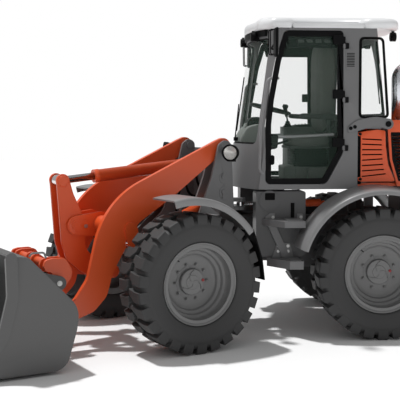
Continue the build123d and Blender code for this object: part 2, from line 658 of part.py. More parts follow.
for shift in (-1, 1):
    z = steer_low + shift * (lug_plate + side_gap)
    tower += bar((*steer_eye, z), (*steer_eye, z + lug_plate), 50)
    tower += flat([(tower_rear + 25, 170), (tower_rear + 25, tower_inner), (steer_eye[0], steer_eye[1] + 49),
                   (steer_eye[0] - 30, steer_eye[1] - 40)], z, z + lug_plate)
keep("front_frame", tower, on_front=True)

front_fender_bends = [(654, 741), (1050, 741, 24), (1050, 675)]
flap = Pos(half_wheelbase + front_fender_centre[0], 0, front_fender_centre[1]) * arched(
    front_fender_bends, -fender_sheet, *front_fender_arc)
flap += side(bent_sheet([(588, 1030, 0), (537, 890, 200), (492, 760, 300), (468, 577, 0)], 10), 660, 1044)
flap += block(700, 740, tower_outer, 700, 1090, 1120)
flap += block(960, 1000, tower_outer, 700, 1250, 1280)
flap += block(700, 980, tower_outer, tower_outer + 20, 1090, 1120)
flap += block(960, 980, tower_outer, tower_outer + 20, 1090, 1280)
keep("front_fenders", both_sides(flap), on_front=True)

head = bar((500, 600, 1672), (585, 600, 1672), 66) + block(505, 535, tower_outer, 560, 1655, 1690)
keep("headlamps", both_sides(head), on_front=True)

# ---- lift arms ----------------------------------------------------------------------
arm_outline = [(arm_pin[0] + 66, 1778), (1687, 1264, 760), (1846, 600, 200), (1975, 418, 120), (bucket_pin[0], 380),
               (bucket_pin[0], 225), (1930, 271, 100), (1790, 318, 150), (1668, 440, 160), (1612, 640, 160),
               (1356, 1064, 120), (1000, 1290, 300), (arm_pin[0] + 66, 1618)]


def arm_plate(y0, y1):
    plate = side(arm_outline, y0, y1) + across(arm_pin, 78, y0, y1) + across(bucket_pin, arm_nose, y0, y1)
    return plate + side([(arm_pin[0] + 20, 1795), (arm_pin[0] + 80, 1772), (arm_pin[0] + 80, 1600),
                         (arm_pin[0] - 10, 1644)], y0, y1)


arms = pair(arm_inner, arm_outer, arm_plate)
rod_way = toward(lift_eye_pin, lift_base_pin, 420)
arms -= both_sides(strap(lift_eye_pin, rod_way, eye_slot, eye_slot, arm_inner - 5, arm_outer + 5))
for y0, y1 in ((lift_line - 60, lift_line - 38), (lift_line + 38, lift_line + 60)):
    arms += pair(y0, y1, lambda a, b: strap(lift_eye_pin, (1440, 1010), 56, 60, a, b))
arms += pair(lift_line - 60, arm_inner + 2, lambda y0, y1: across((1440, 1010), 50, y0, y1))
arms += across(cross_tube, cross_tube_radius, -arm_inner - 2, arm_inner + 2)
arms += pair(crank_outer + side_gap, crank_outer + side_gap + 24, lambda y0, y1: strap(cross_tube, crank_pivot, 112, 84, y0, y1))
arms += pair(crank_outer + side_gap + 24, crank_outer + side_gap + 32,
             lambda y0, y1: strap(crank_pivot, (1752, 1030), 48, 48, y0, y1))
arms += across(crank_pivot, pin_radius, -crank_outer - 40, crank_outer + 40)
for place in (arm_pin, bucket_pin):
    arms -= across(place, pin_radius + run_gap, -arm_outer - 5, arm_outer + 5)
keep("lift_arms", arms, on_front=True)


# ---- bell crank and tilt link -------------------------------------------------------
def crank_cheek(y0, y1):
    outline = [(2008, 1445), (1986, 1140, 600), (1966, 890, 200), (1922, 742, 120), (1790, 626, 200), (1630, 541, 150),
               (crank_low_pin[0], 541), (crank_low_pin[0], 659), (1610, 690, 150), (1738, 825, 100), (1748, 1090, 150),
               (1852, 1318, 300), (1890, 1450)]
    return side(outline, y0, y1) + across(crank_low_pin, 59, y0, y1) + across(crank_top_pin, 62, y0, y1)


crank = pair(crank_inner, crank_outer, crank_cheek)
crank += across(crank_pivot, 70, -crank_outer, crank_outer)
crank -= across(crank_pivot, pin_radius + run_gap, -crank_outer - 1, crank_outer + 1)
for place, inner in ((crank_low_pin, ear_inner), (crank_top_pin, crank_inner)):
    crank += pair(inner, crank_outer + 12, lambda y0, y1: across(place, 46, y0, y1))
keep("bell_crank", crank, on_front=True)

link = strap(crank_low_pin, coupler_top_pin, eye_radius, eye_radius, -tilt_eye_half, tilt_eye_half)
link -= across(coupler_top_pin, pin_radius + run_gap, -tilt_eye_half - 1, tilt_eye_half + 1)
keep("tilt_link", link, on_front=True)

# ---- quick coupler and bucket -------------------------------------------------------
coupler_outline = [(2085, 240, 60), (2182, 240, 30), (2186, 690, 15), (2240, 706, 20), (2260, 745, 25), (2242, 796, 30),
                   (2190, 808, 40), (2066, 808, 50), (2004, 700, 50), (2014, 634, 50), (2092, 540, 80), (2080, 420, 60)]
hook_slot = bucket_bar_radius + 1
ear_pairs = ((arm_inner - side_gap - 34, arm_inner - side_gap), (arm_outer + side_gap, arm_outer + side_gap + 34))
coupler = Part()
for y0, y1 in ear_pairs:
    coupler += pair(y0, y1, lambda a, b: side(coupler_outline, a, b) + across(bucket_pin, 62, a, b))
coupler -= across(bucket_bar, hook_slot, -ear_pairs[1][1] - 1, ear_pairs[1][1] + 1)
coupler -= block(bucket_bar[0], 2300, -ear_pairs[1][1] - 1, ear_pairs[1][1] + 1, bucket_bar[1] - hook_slot, bucket_bar[1] + hook_slot)
coupler += both_sides(across(bucket_pin, pin_radius, ear_pairs[0][0], bucket_ears[1][1] + 6))
coupler += across(coupler_tube, coupler_tube_radius, -coupler_tube_half, coupler_tube_half)
coupler += pair(ear_inner, ear_outer, lambda y0, y1: strap(coupler_tube, coupler_top_pin, 55, 55, y0, y1))
coupler += across(coupler_top_pin, pin_radius, -ear_outer - 8, ear_outer + 8)
keep("quick_coupler", coupler, on_front=True)

bucket_path = [(3165, bucket_low, 0), (2310, bucket_low, 130), (2220, 330, 150), (2192, 500, 200), (2605, 922, 30), (2745, 945, 0)]
front_edge = [(2790, 925, 0), (2780, 640, 200), (2850, 360, 200), (3010, 140, 120), (3165, bucket_low + 40, 0)]
plate_half = bucket_half_width - edge_strip_out
bucket = side(bent_sheet(bucket_path, -bucket_plate), -plate_half, plate_half)
bucket_side = bucket_path + front_edge
bucket += pair(plate_half - bucket_side_plate, plate_half, lambda y0, y1: side(bucket_side, y0, y1))
bucket += pair(plate_half - 1, bucket_half_width, lambda y0, y1: side(bent_sheet(front_edge[:-1] + [(3120, 82, 0)], -edge_strip), y0, y1)
               + across((front_edge[0][0] - edge_strip / 2, front_edge[0][1]), edge_strip / 2, y0, y1))
bucket += block(2900, 3180, -bucket_half_width, bucket_half_width, bucket_low, bucket_low + 25)
ears = Part()
for y0, y1 in bucket_ears:
    ears += pair(y0, y1, lambda a, b: strap(bucket_bar, (2400, 640), 60, 90, a, b))
    ears += pair(y0, y1, lambda a, b: strap(bucket_pin, (2300, 300), 58, 90, a, b))
ears -= both_sides(across(bucket_pin, pin_radius + run_gap, bucket_ears[0][0] - 1, bucket_ears[1][1] + 1))
bucket += ears - side(bucket_side, -bucket_half_width, bucket_half_width)
# two short bars a side leave the arm's path free between them
for y0, y1 in ((bucket_ears[0][0] + 1, ear_pairs[0][1]), (ear_pairs[1][0], bucket_ears[1][1])):
    bucket += both_sides(across(bucket_bar, bucket_bar_radius, y0, y1))
keep("bucket", bucket, on_front=True)


# ---- hydraulic cylinders ------------------------------------------------------------
def barrel(base, eye, reach, radius, rod_radius, half, y, pin_r):
    mouth = toward(base, eye, reach)
    start = toward(base, eye, eye_radius + side_gap + 4)
    neck = bar((base[0], y, base[1]), (start[0], y, start[1]), min(half, radius) * 0.8)
    tube = bar((start[0], y, start[1]), (mouth[0], y, mouth[1]), radius)
    gland_start = toward(base, eye, reach - 50)
    tube += bar((gland_start[0], y, gland_start[1]), (mouth[0], y, mouth[1]), radius + gland_step)
    body = neck + tube + across(base, eye_radius, y - half, y + half)
    hollow = toward(base, eye, barrel_bottom)
    past = toward(base, eye, reach + 1)
    body -= bar((hollow[0], y, hollow[1]), (past[0], y, past[1]), rod_radius + run_gap)
    return body - across(base, pin_r + run_gap, y - half - 1, y + half + 1)


def rod(base, eye, start, rod_radius, half, y, bore):
    inner = toward(base, eye, start)
    neck = toward(eye, base, eye_radius - 12)
    shape = bar((inner[0], y, inner[1]), (neck[0], y, neck[1]), rod_radius)
    return shape + across(eye, eye_radius, y - half, y + half) - across(eye, bore, y - half - 1, y + half + 1)


lift_half = 32.0
for hand, sign in (("left", 1), ("right", -1)):
    y = sign * lift_line
    keep(f"lift_barrel_{hand}", barrel(lift_base_pin, lift_eye_pin, lift_barrel_length, lift_barrel_radius,
                                       lift_rod_radius, lift_half, y, pin_radius), on_front=True)
    keep(f"lift_rod_{hand}", rod(lift_base_pin, lift_eye_pin, lift_rod_start, lift_rod_radius, lift_half, y,
                                 pin_radius), on_front=True)
keep("tilt_barrel", barrel(tilt_base_pin, crank_top_pin, tilt_barrel_length, tilt_barrel_radius, tilt_rod_radius,
                           tilt_eye_half, 0, tilt_pin_radius), on_front=True)
keep("tilt_rod", rod(tilt_base_pin, crank_top_pin, tilt_rod_start, tilt_rod_radius, rod_eye_half, 0, tilt_pin_radius),
     on_front=True)

# the steering cylinder lies level, from the rear body to the eye as it stands at rest
rest_eye_angle = radians(steer_eye_angle + rest_articulation)
steer_rest_eye = (steer_eye_radius * cos(rest_eye_angle), steer_eye_radius * sin(rest_eye_angle))
steer_run = hypot(steer_rest_eye[0] - steer_base[0], steer_rest_eye[1] - steer_base[1])
steer_heading = degrees(atan2(steer_rest_eye[1] - steer_base[1], steer_rest_eye[0] - steer_base[0]))
lying = Pos(steer_base[0], steer_base[1], steer_height) * Rot(0, 0, steer_heading)
half_plate = lug_plate / 2
steer_barrel = bar((62, 0, 0), (steer_barrel_length, 0, 0), steer_barrel_radius) + bar((0, 0, -half_plate), (0, 0, half_plate), 42)
steer_barrel += bar((0, 0, 0), (63, 0, 0), half_plate - 1)
steer_barrel -= bar((steer_barrel_bottom, 0, 0), (steer_barrel_length + 1, 0, 0), steer_rod_radius + run_gap)
steer_barrel -= bar((0, 0, -half_plate - 1), (0, 0, half_plate + 1), steer_pin_radius + run_gap)
steer_rod = bar((steer_rod_start, 0, 0), (steer_run - 20, 0, 0), steer_rod_radius)
steer_rod += bar((steer_run, 0, -half_plate), (steer_run, 0, half_plate), 36)
steer_rod -= bar((steer_run, 0, -half_plate - 1), (steer_run, 0, half_plate + 1), steer_pin_radius)
keep("steer_barrel", lying * steer_barrel)
keep("steer_rod", lying * steer_rod)

# ---- place and write ----------------------------------------------------------------
for name in front_pieces:
    pieces[name] = Rot(0, 0, rest_articulation) * pieces[name]
boxes = [shape.bounding_box() for shape in pieces.values()]
footprint = ((min(b.min.X for b in boxes) + max(b.max.X for b in boxes)) / 2,
             (min(b.min.Y for b in boxes) + max(b.max.Y for b in boxes)) / 2)
for name, shape in pieces.items():
    placed = Pos(-footprint[0], -footprint[1], 0) * shape
    placed.label = name
    export_step(placed, f"parts/{name}.step")
print("footprint centre from the pivot:", footprint)
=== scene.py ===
import json
import math

import bmesh
import bpy
from mathutils import Matrix, Vector

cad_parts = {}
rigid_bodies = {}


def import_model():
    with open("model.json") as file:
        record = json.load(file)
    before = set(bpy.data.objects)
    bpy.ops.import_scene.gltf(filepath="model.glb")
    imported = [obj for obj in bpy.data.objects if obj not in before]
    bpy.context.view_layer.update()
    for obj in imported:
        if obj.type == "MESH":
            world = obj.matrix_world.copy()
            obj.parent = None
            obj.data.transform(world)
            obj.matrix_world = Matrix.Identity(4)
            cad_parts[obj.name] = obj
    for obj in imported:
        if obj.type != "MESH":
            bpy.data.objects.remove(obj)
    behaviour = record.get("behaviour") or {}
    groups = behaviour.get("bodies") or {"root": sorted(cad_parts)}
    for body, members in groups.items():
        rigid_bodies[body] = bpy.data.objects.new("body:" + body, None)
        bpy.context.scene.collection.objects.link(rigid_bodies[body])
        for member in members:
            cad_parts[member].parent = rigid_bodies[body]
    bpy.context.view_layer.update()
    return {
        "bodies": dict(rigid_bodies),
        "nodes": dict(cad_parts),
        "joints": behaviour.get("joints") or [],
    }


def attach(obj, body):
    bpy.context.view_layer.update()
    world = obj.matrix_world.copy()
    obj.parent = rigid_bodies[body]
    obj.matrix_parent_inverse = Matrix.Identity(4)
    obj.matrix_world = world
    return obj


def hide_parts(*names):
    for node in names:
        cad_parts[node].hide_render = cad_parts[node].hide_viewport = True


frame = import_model()

# places taken from the frame
jointAt = {j["name"]: Vector(j["pos_m"]) for j in frame["joints"] if "pos_m" in j}
pivot = jointAt["steer"].copy()
pivot.z = 0.0
turned = math.radians(25.0)          # front body's turn to the left at rest
rearPlace = Matrix.Translation(pivot)
frontPlace = rearPlace @ Matrix.Rotation(turned, 4, "Z")
bothHands = (("left", 1), ("right", -1))


# camera, lights and floor
stageLook = {
    "cameraPlace": (1.2636, 9.1419, 1.9361),   # from the ground under the pivot
    "cameraYaw": 5.10,
    "cameraPitch": 3.11,
    "cameraReach": 200.0,
    "lens": 84.4,
    "shiftY": -0.0649,
    "floorColor": (0.93, 0.93, 0.93),
    "floorRoughness": 0.9,
    "floorReach": 40.0,
    "backdropStrength": 1.0,
    "skyStrength": 0.42,
    "sunStrength": 2.6,
    "sunAngle": (10.0, 16.0, 0.0),
    "sunSpread": 3.0,
}


def makeStage():
    scene = bpy.context.scene
    cam = bpy.data.cameras.new("viewCamera")
    cam.lens = stageLook["lens"]
    cam.shift_y = stageLook["shiftY"]
    cam.clip_end = stageLook["cameraReach"]
    camObject = bpy.data.objects.new("viewCamera", cam)
    scene.collection.objects.link(camObject)
    camObject.location = pivot + Vector(stageLook["cameraPlace"])
    camObject.rotation_euler = (math.radians(90 - stageLook["cameraPitch"]), 0,
                                math.radians(180 - stageLook["cameraYaw"]))
    scene.camera = camObject
    mesh = bpy.data.meshes.new("floor")
    reach = stageLook["floorReach"]
    corners = [(-reach, -reach, 0), (reach, -reach, 0), (reach, reach, 0), (-reach, reach, 0)]
    mesh.from_pydata(corners, [], [(0, 1, 2, 3)])
    floor = bpy.data.objects.new("floor", mesh)
    scene.collection.objects.link(floor)
    floorMat = bpy.data.materials.new("floorPaper")
    floorMat.use_nodes = True
    shader = floorMat.node_tree.nodes["Principled BSDF"]
    shader.inputs["Base Color"].default_value = (*stageLook["floorColor"], 1)
    shader.inputs["Roughness"].default_value = stageLook["floorRoughness"]
    floor.data.materials.append(floorMat)
    world = bpy.data.worlds.new("studio")
    world.use_nodes = True
    sky = world.node_tree.nodes["Background"]
    path = world.node_tree.nodes.new("ShaderNodeLightPath")
    level = world.node_tree.nodes.new("ShaderNodeMapRange")      # bright backdrop, dimmer light from the sky
    level.inputs["To Min"].default_value = stageLook["skyStrength"]
    level.inputs["To Max"].default_value = stageLook["backdropStrength"]
    world.node_tree.links.new(path.outputs["Is Camera Ray"], level.inputs["Value"])
    world.node_tree.links.new(level.outputs[0], sky.inputs["Strength"])
    sky.inputs["Color"].default_value = (1, 1, 1, 1)
    scene.world = world
    sun = bpy.data.lights.new("keyLight", "SUN")
    sun.energy = stageLook["sunStrength"]
    sun.angle = math.radians(stageLook["sunSpread"])
    sunObject = bpy.data.objects.new("keyLight", sun)
    scene.collection.objects.link(sunObject)
    sunObject.rotation_euler = [math.radians(a) for a in stageLook["sunAngle"]]
    scene.view_settings.view_transform = "Standard"


makeStage()
print("stage ready")


# finishes
class Wire:                          # a shader value that takes part in plain arithmetic
    def __init__(self, finish, socket):
        self.finish = finish
        self.socket = socket

    def maths(self, operation, first, second):
        return self.finish.add("ShaderNodeMath", {"operation": operation}, {0: first, 1: second})

    def __add__(self, other):
        return self.maths("ADD", self, other)

    def __sub__(self, other):
        return self.maths("SUBTRACT", self, other)

    def __mul__(self, other):
        return self.maths("MULTIPLY", self, other)

    def __rsub__(self, other):
        return self.maths("SUBTRACT", other, self)

    __radd__ = __add__
    __rmul__ = __mul__


class Finish:                        # one material and its nodes
    def __init__(self, name):
        self.material = bpy.data.materials.new(name)
        self.material.use_nodes = True
        self.tree = self.material.node_tree
        self.shader = self.tree.nodes["Principled BSDF"]

    def put(self, socket, value):
        if isinstance(value, Wire):
            self.tree.links.new(value.socket, socket)
        elif hasattr(socket.default_value, "__len__") and len(value) == 3 and len(socket.default_value) == 4:
            socket.default_value = (*value, 1)
        else:
            socket.default_value = value

    def add(self, kind, settings, inputs, output=0):
        node = self.tree.nodes.new(kind)
        for key, value in settings.items():
            setattr(node, key, value)
        for key, value in inputs.items():
            self.put(node.inputs[key], value)
        return Wire(self, node.outputs[output])

    def set(self, **values):
        for key, value in values.items():
            self.put(self.shader.inputs[key.replace("_", " ")], value)

    def place(self):
        return self.add("ShaderNodeTexCoord", {}, {}, "Object")

    def noise(self, scale, detail=3.0):
        return self.add("ShaderNodeTexNoise", {}, {"Vector": self.place(), "Scale": scale, "Detail": detail}, 0)

    def blend(self, share, first, second):
        node = self.tree.nodes.new("ShaderNodeMix")
        node.data_type = "RGBA"
        self.put(node.inputs[0], share)
        self.put(node.inputs[6], first)
        self.put(node.inputs[7], second)
        return Wire(self, node.outputs[2])

    def bump(self, height, strength, distance):
        return self.add("ShaderNodeBump", {}, {"Height": height, "Strength": strength, "Distance": distance})


finishLook = {                       # colour, roughness, share of mottling, metallic, clear coat
    "orangePaint": ((0.78, 0.098, 0.018), 0.42, 0.06, 0.0, 0.25),
    "greyPaint": ((0.165, 0.165, 0.168), 0.45, 0.06, 0.0, 0.15),
    "lightGreyPaint": ((0.235, 0.235, 0.238), 0.42, 0.05, 0.0, 0.15),
    # painted shade: the bucket's grey is greyPaint darkened, to take off the light the white floor bounces onto
    # it
    "bucketShadedPaint": ((0.100, 0.100, 0.100), 0.5, 0.10, 0.0, 0.05),
    "darkPaint": ((0.088, 0.088, 0.090), 0.5, 0.08, 0.0, 0.1),
    "castGrey": ((0.10, 0.10, 0.10), 0.6, 0.10, 0.0, 0.0),
    "rimPaint": ((0.165, 0.165, 0.165), 0.42, 0.05, 0.0, 0.15),
    "blackPlastic": ((0.006, 0.006, 0.0065), 0.5, 0.10, 0.0, 0.0),
    "rubberSeal": ((0.004, 0.004, 0.004), 0.6, 0.10, 0.0, 0.0),
    "whiteRoof": ((0.84, 0.85, 0.86), 0.35, 0.02, 0.0, 0.2),
    "cabTrim": ((0.200, 0.215, 0.200), 0.6, 0.06, 0.0, 0.0),
    "seatShell": ((0.03, 0.032, 0.031), 0.6, 0.06, 0.0, 0.0),
    "redPlug": ((0.28, 0.008, 0.010), 0.35, 0.05, 0.0, 0.0),
    "zincBolt": ((0.45, 0.45, 0.44), 0.35, 0.10, 0.9, 0.0),
    "rodChrome": ((0.72, 0.72, 0.73), 0.12, 0.04, 1.0, 0.0),
    "exhaustChrome": ((0.66, 0.68, 0.72), 0.2, 0.05, 1.0, 0.0),
    "reflector": ((0.70, 0.68, 0.65), 0.28, 0.25, 0.9, 0.0),
    "redLens": ((0.45, 0.01, 0.01), 0.2, 0.04, 0.0, 0.5),
    # painted shade: near-black sheets that stand in for the shade inside slits, holes and gaps
    "paintedOpeningShade": ((0.006, 0.006, 0.006), 0.8, 0.05, 0.0, 0.0),
    "gaugeFace": ((0.02, 0.03, 0.03), 0.2, 0.05, 0.0, 0.3),
}


grainLook = {"cloudScale": 2.2, "grainScale": 240.0, "grainDetail": 2.0, "roughSpread": 0.12, "bump": 0.06,
             "bumpDepth": 0.0006, "coatRoughness": 0.25, "blackBelow": 0.02, "blackShine": 0.08}
tyreLook = {"dustScale": 9.0, "dustDetail": 5.0, "grainScale": 420.0, "grainDetail": 2.0,
            "clean": (0.033, 0.033, 0.034),
            "dusty": (0.045, 0.045, 0.045), "roughness": 0.58, "roughSpread": 0.15, "bump": 0.12,
            "bumpDepth": 0.0008}
clothLook = {"weaveScale": 90.0, "distortion": 1.5, "dark": (0.085, 0.090, 0.082),
             "light": (0.120, 0.126, 0.116),
             "roughness": 0.85, "bump": 0.25, "bumpDepth": 0.001}
glassLook = {                        # colour, alpha, roughness
    "greenGlass": ((0.20, 0.32, 0.25), 0.055, 0.03),
    "lampGlass": ((0.75, 0.76, 0.76), 0.16, 0.05),
}


def plainFinish(name, color, rough, mottle, metallic, coat):
    look = grainLook
    paint = Finish(name)
    cloud = paint.noise(look["cloudScale"])
    grain = paint.noise(look["grainScale"], look["grainDetail"])
    darker = tuple(c * (1 - mottle) for c in color)
    lighter = tuple(min(c * (1 + mottle), 1) for c in color)
    paint.set(Base_Color=paint.blend(cloud, darker, lighter),
              Roughness=cloud * look["roughSpread"] + (rough - look["roughSpread"] / 2), Metallic=metallic,
              Coat_Weight=coat, Normal=paint.bump(grain, look["bump"], look["bumpDepth"]))
    paint.shader.inputs["Coat Roughness"].default_value = look["coatRoughness"]
    if max(color) < look["blackBelow"]:          # black plastics and rubber stay dull
        paint.shader.inputs["Specular IOR Level"].default_value = look["blackShine"]
    return paint.material


def tyreFinish():
    look = tyreLook
    rubber = Finish("tyreRubber")
    dust = rubber.noise(look["dustScale"], look["dustDetail"])
    grain = rubber.noise(look["grainScale"], look["grainDetail"])
    rubber.set(Base_Color=rubber.blend(dust, look["clean"], look["dusty"]),
               Roughness=dust * look["roughSpread"] + look["roughness"],
               Normal=rubber.bump(grain, look["bump"], look["bumpDepth"]))
    return rubber.material


def fabricFinish():
    look = clothLook
    cloth = Finish("seatFabric")
    weave = cloth.add("ShaderNodeTexWave", {"wave_type": "BANDS", "bands_direction": "DIAGONAL"},
                      {"Vector": cloth.place(), "Scale": look["weaveScale"],
                       "Distortion": look["distortion"]}, 1)
    cloth.set(Base_Color=cloth.blend(weave, look["dark"], look["light"]), Roughness=look["roughness"],
              Normal=cloth.bump(weave, look["bump"], look["bumpDepth"]))
    return cloth.material


def glassFinish(name, color, alpha, rough):
    pane = Finish(name)
    pane.set(Base_Color=color, Roughness=rough, Alpha=alpha)
    return pane.material


mats = {name: plainFinish(name, *look) for name, look in finishLook.items()}
mats["tyreRubber"] = tyreFinish()
mats["seatFabric"] = fabricFinish()
for name, look in glassLook.items():
    mats[name] = glassFinish(name, *look)
print("finishes ready")


# simple forms, in metres from the ground under the pivot
cornerShare = 0.49                   # most of a side that one round corner may take


def roundedOutline(points, radius, steps=5):
    out = []
    for i, here in enumerate(points):
        here = Vector(here[:2])
        before, after = Vector(points[i - 1][:2]), Vector(points[(i + 1) % len(points)][:2])
        r = points[i][2] if len(points[i]) > 2 else radius
        a, b = before - here, after - here
        reach = min(r, a.length * cornerShare, b.length * cornerShare)
        if reach <= 0:
            out.append(tuple(here))
            continue
        start, end = here + a.normalized() * reach, here + b.normalized() * reach
        for k in range(steps + 1):
            t = k / steps
            out.append(tuple(start * (1 - t) ** 2 + here * 2 * t * (1 - t) + end * t * t))
    return out


def oval(u, v, halfU, halfV, count=28):
    short = min(halfU, halfV)
    spots = []
    for i in range(count):
        a = 2 * math.pi * (i + 0.5) / count
        du, dv = math.cos(a), math.sin(a)
        spots.append((u + du * short + math.copysign(halfU - short, du),
                      v + dv * short + math.copysign(halfV - short, dv)))
    return spots


class Form:
    def __init__(self):
        self.bm = bmesh.new()

    def loft(self, rings, wrap=False):
        rows = [[self.bm.verts.new(p) for p in ring] for ring in rings]
        count = len(rows[0])
        pairs = list(zip(rows, rows[1:])) + ([(rows[-1], rows[0])] if wrap else [])
        for a, b in pairs:
            for i in range(count):
                j = (i + 1) % count
                self.bm.faces.new((a[i], a[j], b[j], b[i]))
        if not wrap:
            self.bm.faces.new(rows[0][::-1])
            self.bm.faces.new(rows[-1])
        return self

    def box(self, x0, x1, y0, y1, z0, z1):
        low = [(x0, y0, z0), (x1, y0, z0), (x1, y1, z0), (x0, y1, z0)]
        return self.loft([low, [(x, y, z1) for x, y, z in low]])

    def side(self, outline, y0, y1):         # outline in X and Z
        return self.loft([[(x, y0, z) for x, z in outline], [(x, y1, z) for x, z in outline]])

    def plan(self, outline, z0, z1):         # outline in X and Y
        return self.loft([[(x, y, z0) for x, y in outline], [(x, y, z1) for x, y in outline]])

    def end(self, outline, x0, x1):          # outline in Y and Z
        return self.loft([[(x0, y, z) for y, z in outline], [(x1, y, z) for y, z in outline]])

    def ring(self, outer, inner, y0, y1):    # flat frame in X and Z between two outlines of equal count
        rings = [[(x, y0, z) for x, z in outer], [(x, y1, z) for x, z in outer],
                 [(x, y1, z) for x, z in inner], [(x, y0, z) for x, z in inner]]
        return self.loft(rings, wrap=True)

    def tube(self, points, radius, count=12):
        spots = [Vector(p) for p in points]
        way = (spots[1] - spots[0]).normalized()
        normal = way.orthogonal().normalized()
        rings = []
        for i, spot in enumerate(spots):
            ahead = (spots[min(i + 1, len(spots) - 1)] - spots[max(i - 1, 0)]).normalized()
            normal = (normal - ahead * normal.dot(ahead)).normalized()
            across = ahead.cross(normal)
            r = radius[i] if isinstance(radius, (list, tuple)) else radius
            rings.append([spot + normal * (r * math.cos(2 * math.pi * k / count))
                          + across * (r * math.sin(2 * math.pi * k / count)) for k in range(count)])
        return self.loft(rings)

    def spun(self, profile, centre, axis, count=48):   # profile as (along, radius); ends may touch the axis
        axis = Vector(axis).normalized()
        u = axis.orthogonal().normalized()
        v = axis.cross(u)
        centre = Vector(centre)
        turns = [2 * math.pi * k / count for k in range(count)]
        rows = []
        for along, radius in profile:
            middle = centre + axis * along
            if radius < 1e-6:
                rows.append([self.bm.verts.new(middle)])
            else:
                rows.append([self.bm.verts.new(middle + u * (radius * math.cos(a)) + v * (radius * math.sin(a)))
                             for a in turns])
        closed = len(rows[0]) > 1 and len(rows[-1]) > 1
        for a, b in list(zip(rows, rows[1:])) + ([(rows[-1], rows[0])] if closed else []):
            for k in range(count):
                j = (k + 1) % count
                loop = [a[k % len(a)], a[j % len(a)], b[j % len(b)], b[k % len(b)]]
                self.bm.faces.new(list(dict.fromkeys(loop)))
        return self

    # crowned cushion; each seam as (axis it crosses, place on it, axis of the faces it dents)
    def pad(self, centre, half, power, cuts, seams, depth, seamWidth, seamFree):
        verts = {}

        def corner(spot):
            if spot not in verts:
                p = Vector([2 * k / cuts - 1 for k in spot])
                p = p / sum(abs(c) ** power for c in p) ** (1 / power)
                at = Vector([c + p[i] * half[i] for i, c in enumerate(centre)])
                for axis, place, faceAxis in seams:
                    dent = depth * math.exp(-((at[axis] - place) / seamWidth) ** 2)
                    dent *= max(abs(p[faceAxis]) - seamFree, 0)
                    at[faceAxis] -= math.copysign(dent, p[faceAxis])
                verts[spot] = self.bm.verts.new(at)
            return verts[spot]

        for axis in range(3):
            for stop in (0, cuts):
                for i in range(cuts):
                    for j in range(cuts):
                        quad = []
                        for a, b in ((i, j), (i + 1, j), (i + 1, j + 1), (i, j + 1)):
                            spot = [a, b]
                            spot.insert(axis, stop)
                            quad.append(corner(tuple(spot)))
                        self.bm.faces.new(quad)
        return self


def bent(points, radius, steps=6):           # path in space with round corners
    spots = [Vector(p) for p in points]
    out = [spots[0]]
    for before, here, after in zip(spots, spots[1:], spots[2:]):
        a, b = before - here, after - here
        reach = min(radius, a.length * cornerShare, b.length * cornerShare)
        start, end = here + a.normalized() * reach, here + b.normalized() * reach
        for k in range(steps + 1):
            t = k / steps
            out.append(start * (1 - t) ** 2 + here * 2 * t * (1 - t) + end * t * t)
    return out + [spots[-1]]


def dress(obj, finish, smooth):
    obj.data.materials.clear()
    obj.data.materials.append(mats[finish])
    obj.data.polygons.foreach_set("use_smooth", [True] * len(obj.data.polygons))
    obj.data.set_sharp_from_angle(angle=math.radians(smooth))


def settle(obj):                             # what the modifiers give becomes the plain mesh
    graph = bpy.context.evaluated_depsgraph_get()
    mesh = bpy.data.meshes.new_from_object(obj.evaluated_get(graph), depsgraph=graph)
    obj.modifiers.clear()
    obj.data = mesh


def softEdge(obj, width, corner):
    bevel = obj.modifiers.new("edge", "BEVEL")
    bevel.width = width
    bevel.segments = 2
    bevel.limit_method = "ANGLE"
    bevel.angle_limit = math.radians(corner)


def linked(name, mesh):
    obj = bpy.data.objects.new(name, mesh)
    bpy.context.scene.collection.objects.link(obj)
    return obj


def piece(name, form, finish, body, place, edge=0.0, smooth=35, mirrored=False):
    bm = form.bm
    if mirrored:
        bmesh.ops.transform(bm, matrix=Matrix.Scale(-1, 4, (0, 1, 0)), verts=bm.verts)
    bmesh.ops.transform(bm, matrix=place, verts=bm.verts)
    bmesh.ops.recalc_face_normals(bm, faces=bm.faces)
    mesh = bpy.data.meshes.new(name)
    bm.to_mesh(mesh)
    bm.free()
    obj = linked(name, mesh)
    dress(obj, finish, smooth)
    if edge:
        softEdge(obj, edge, 40)
    if body:
        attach(obj, body)
    return obj


# repeats made by Geometry Nodes
boltLook = {"headSides": 6, "washerSides": 20, "washerWide": 1.45, "washerThin": 0.5}


def newTree(name, inputs):
    tree = bpy.data.node_groups.new(name, "GeometryNodeTree")
    face = tree.interface
    face.new_socket("Geometry", in_out="INPUT", socket_type="NodeSocketGeometry")
    for label, kind in inputs + (("Finish", "NodeSocketMaterial"),):
        face.new_socket(label, in_out="INPUT", socket_type=kind)
    face.new_socket("Geometry", in_out="OUTPUT", socket_type="NodeSocketGeometry")
    return tree, tree.nodes.new("NodeGroupInput"), tree.nodes.new("NodeGroupOutput")


def closeTree(tree, start, end, points, copies, rotation):    # real copies on the points, in one finish
    spread = tree.nodes.new("GeometryNodeInstanceOnPoints")
    real = tree.nodes.new("GeometryNodeRealizeInstances")
    finish = tree.nodes.new("GeometryNodeSetMaterial")
    for source, target in ((points, spread.inputs["Points"]), (copies, spread.inputs["Instance"]),
                           (rotation, spread.inputs["Rotation"]), (spread.outputs[0], real.inputs[0]),
                           (real.outputs[0], finish.inputs["Geometry"]),
                           (start.outputs["Finish"], finish.inputs["Material"]),
                           (finish.outputs[0], end.inputs[0])):
        tree.links.new(source, target)


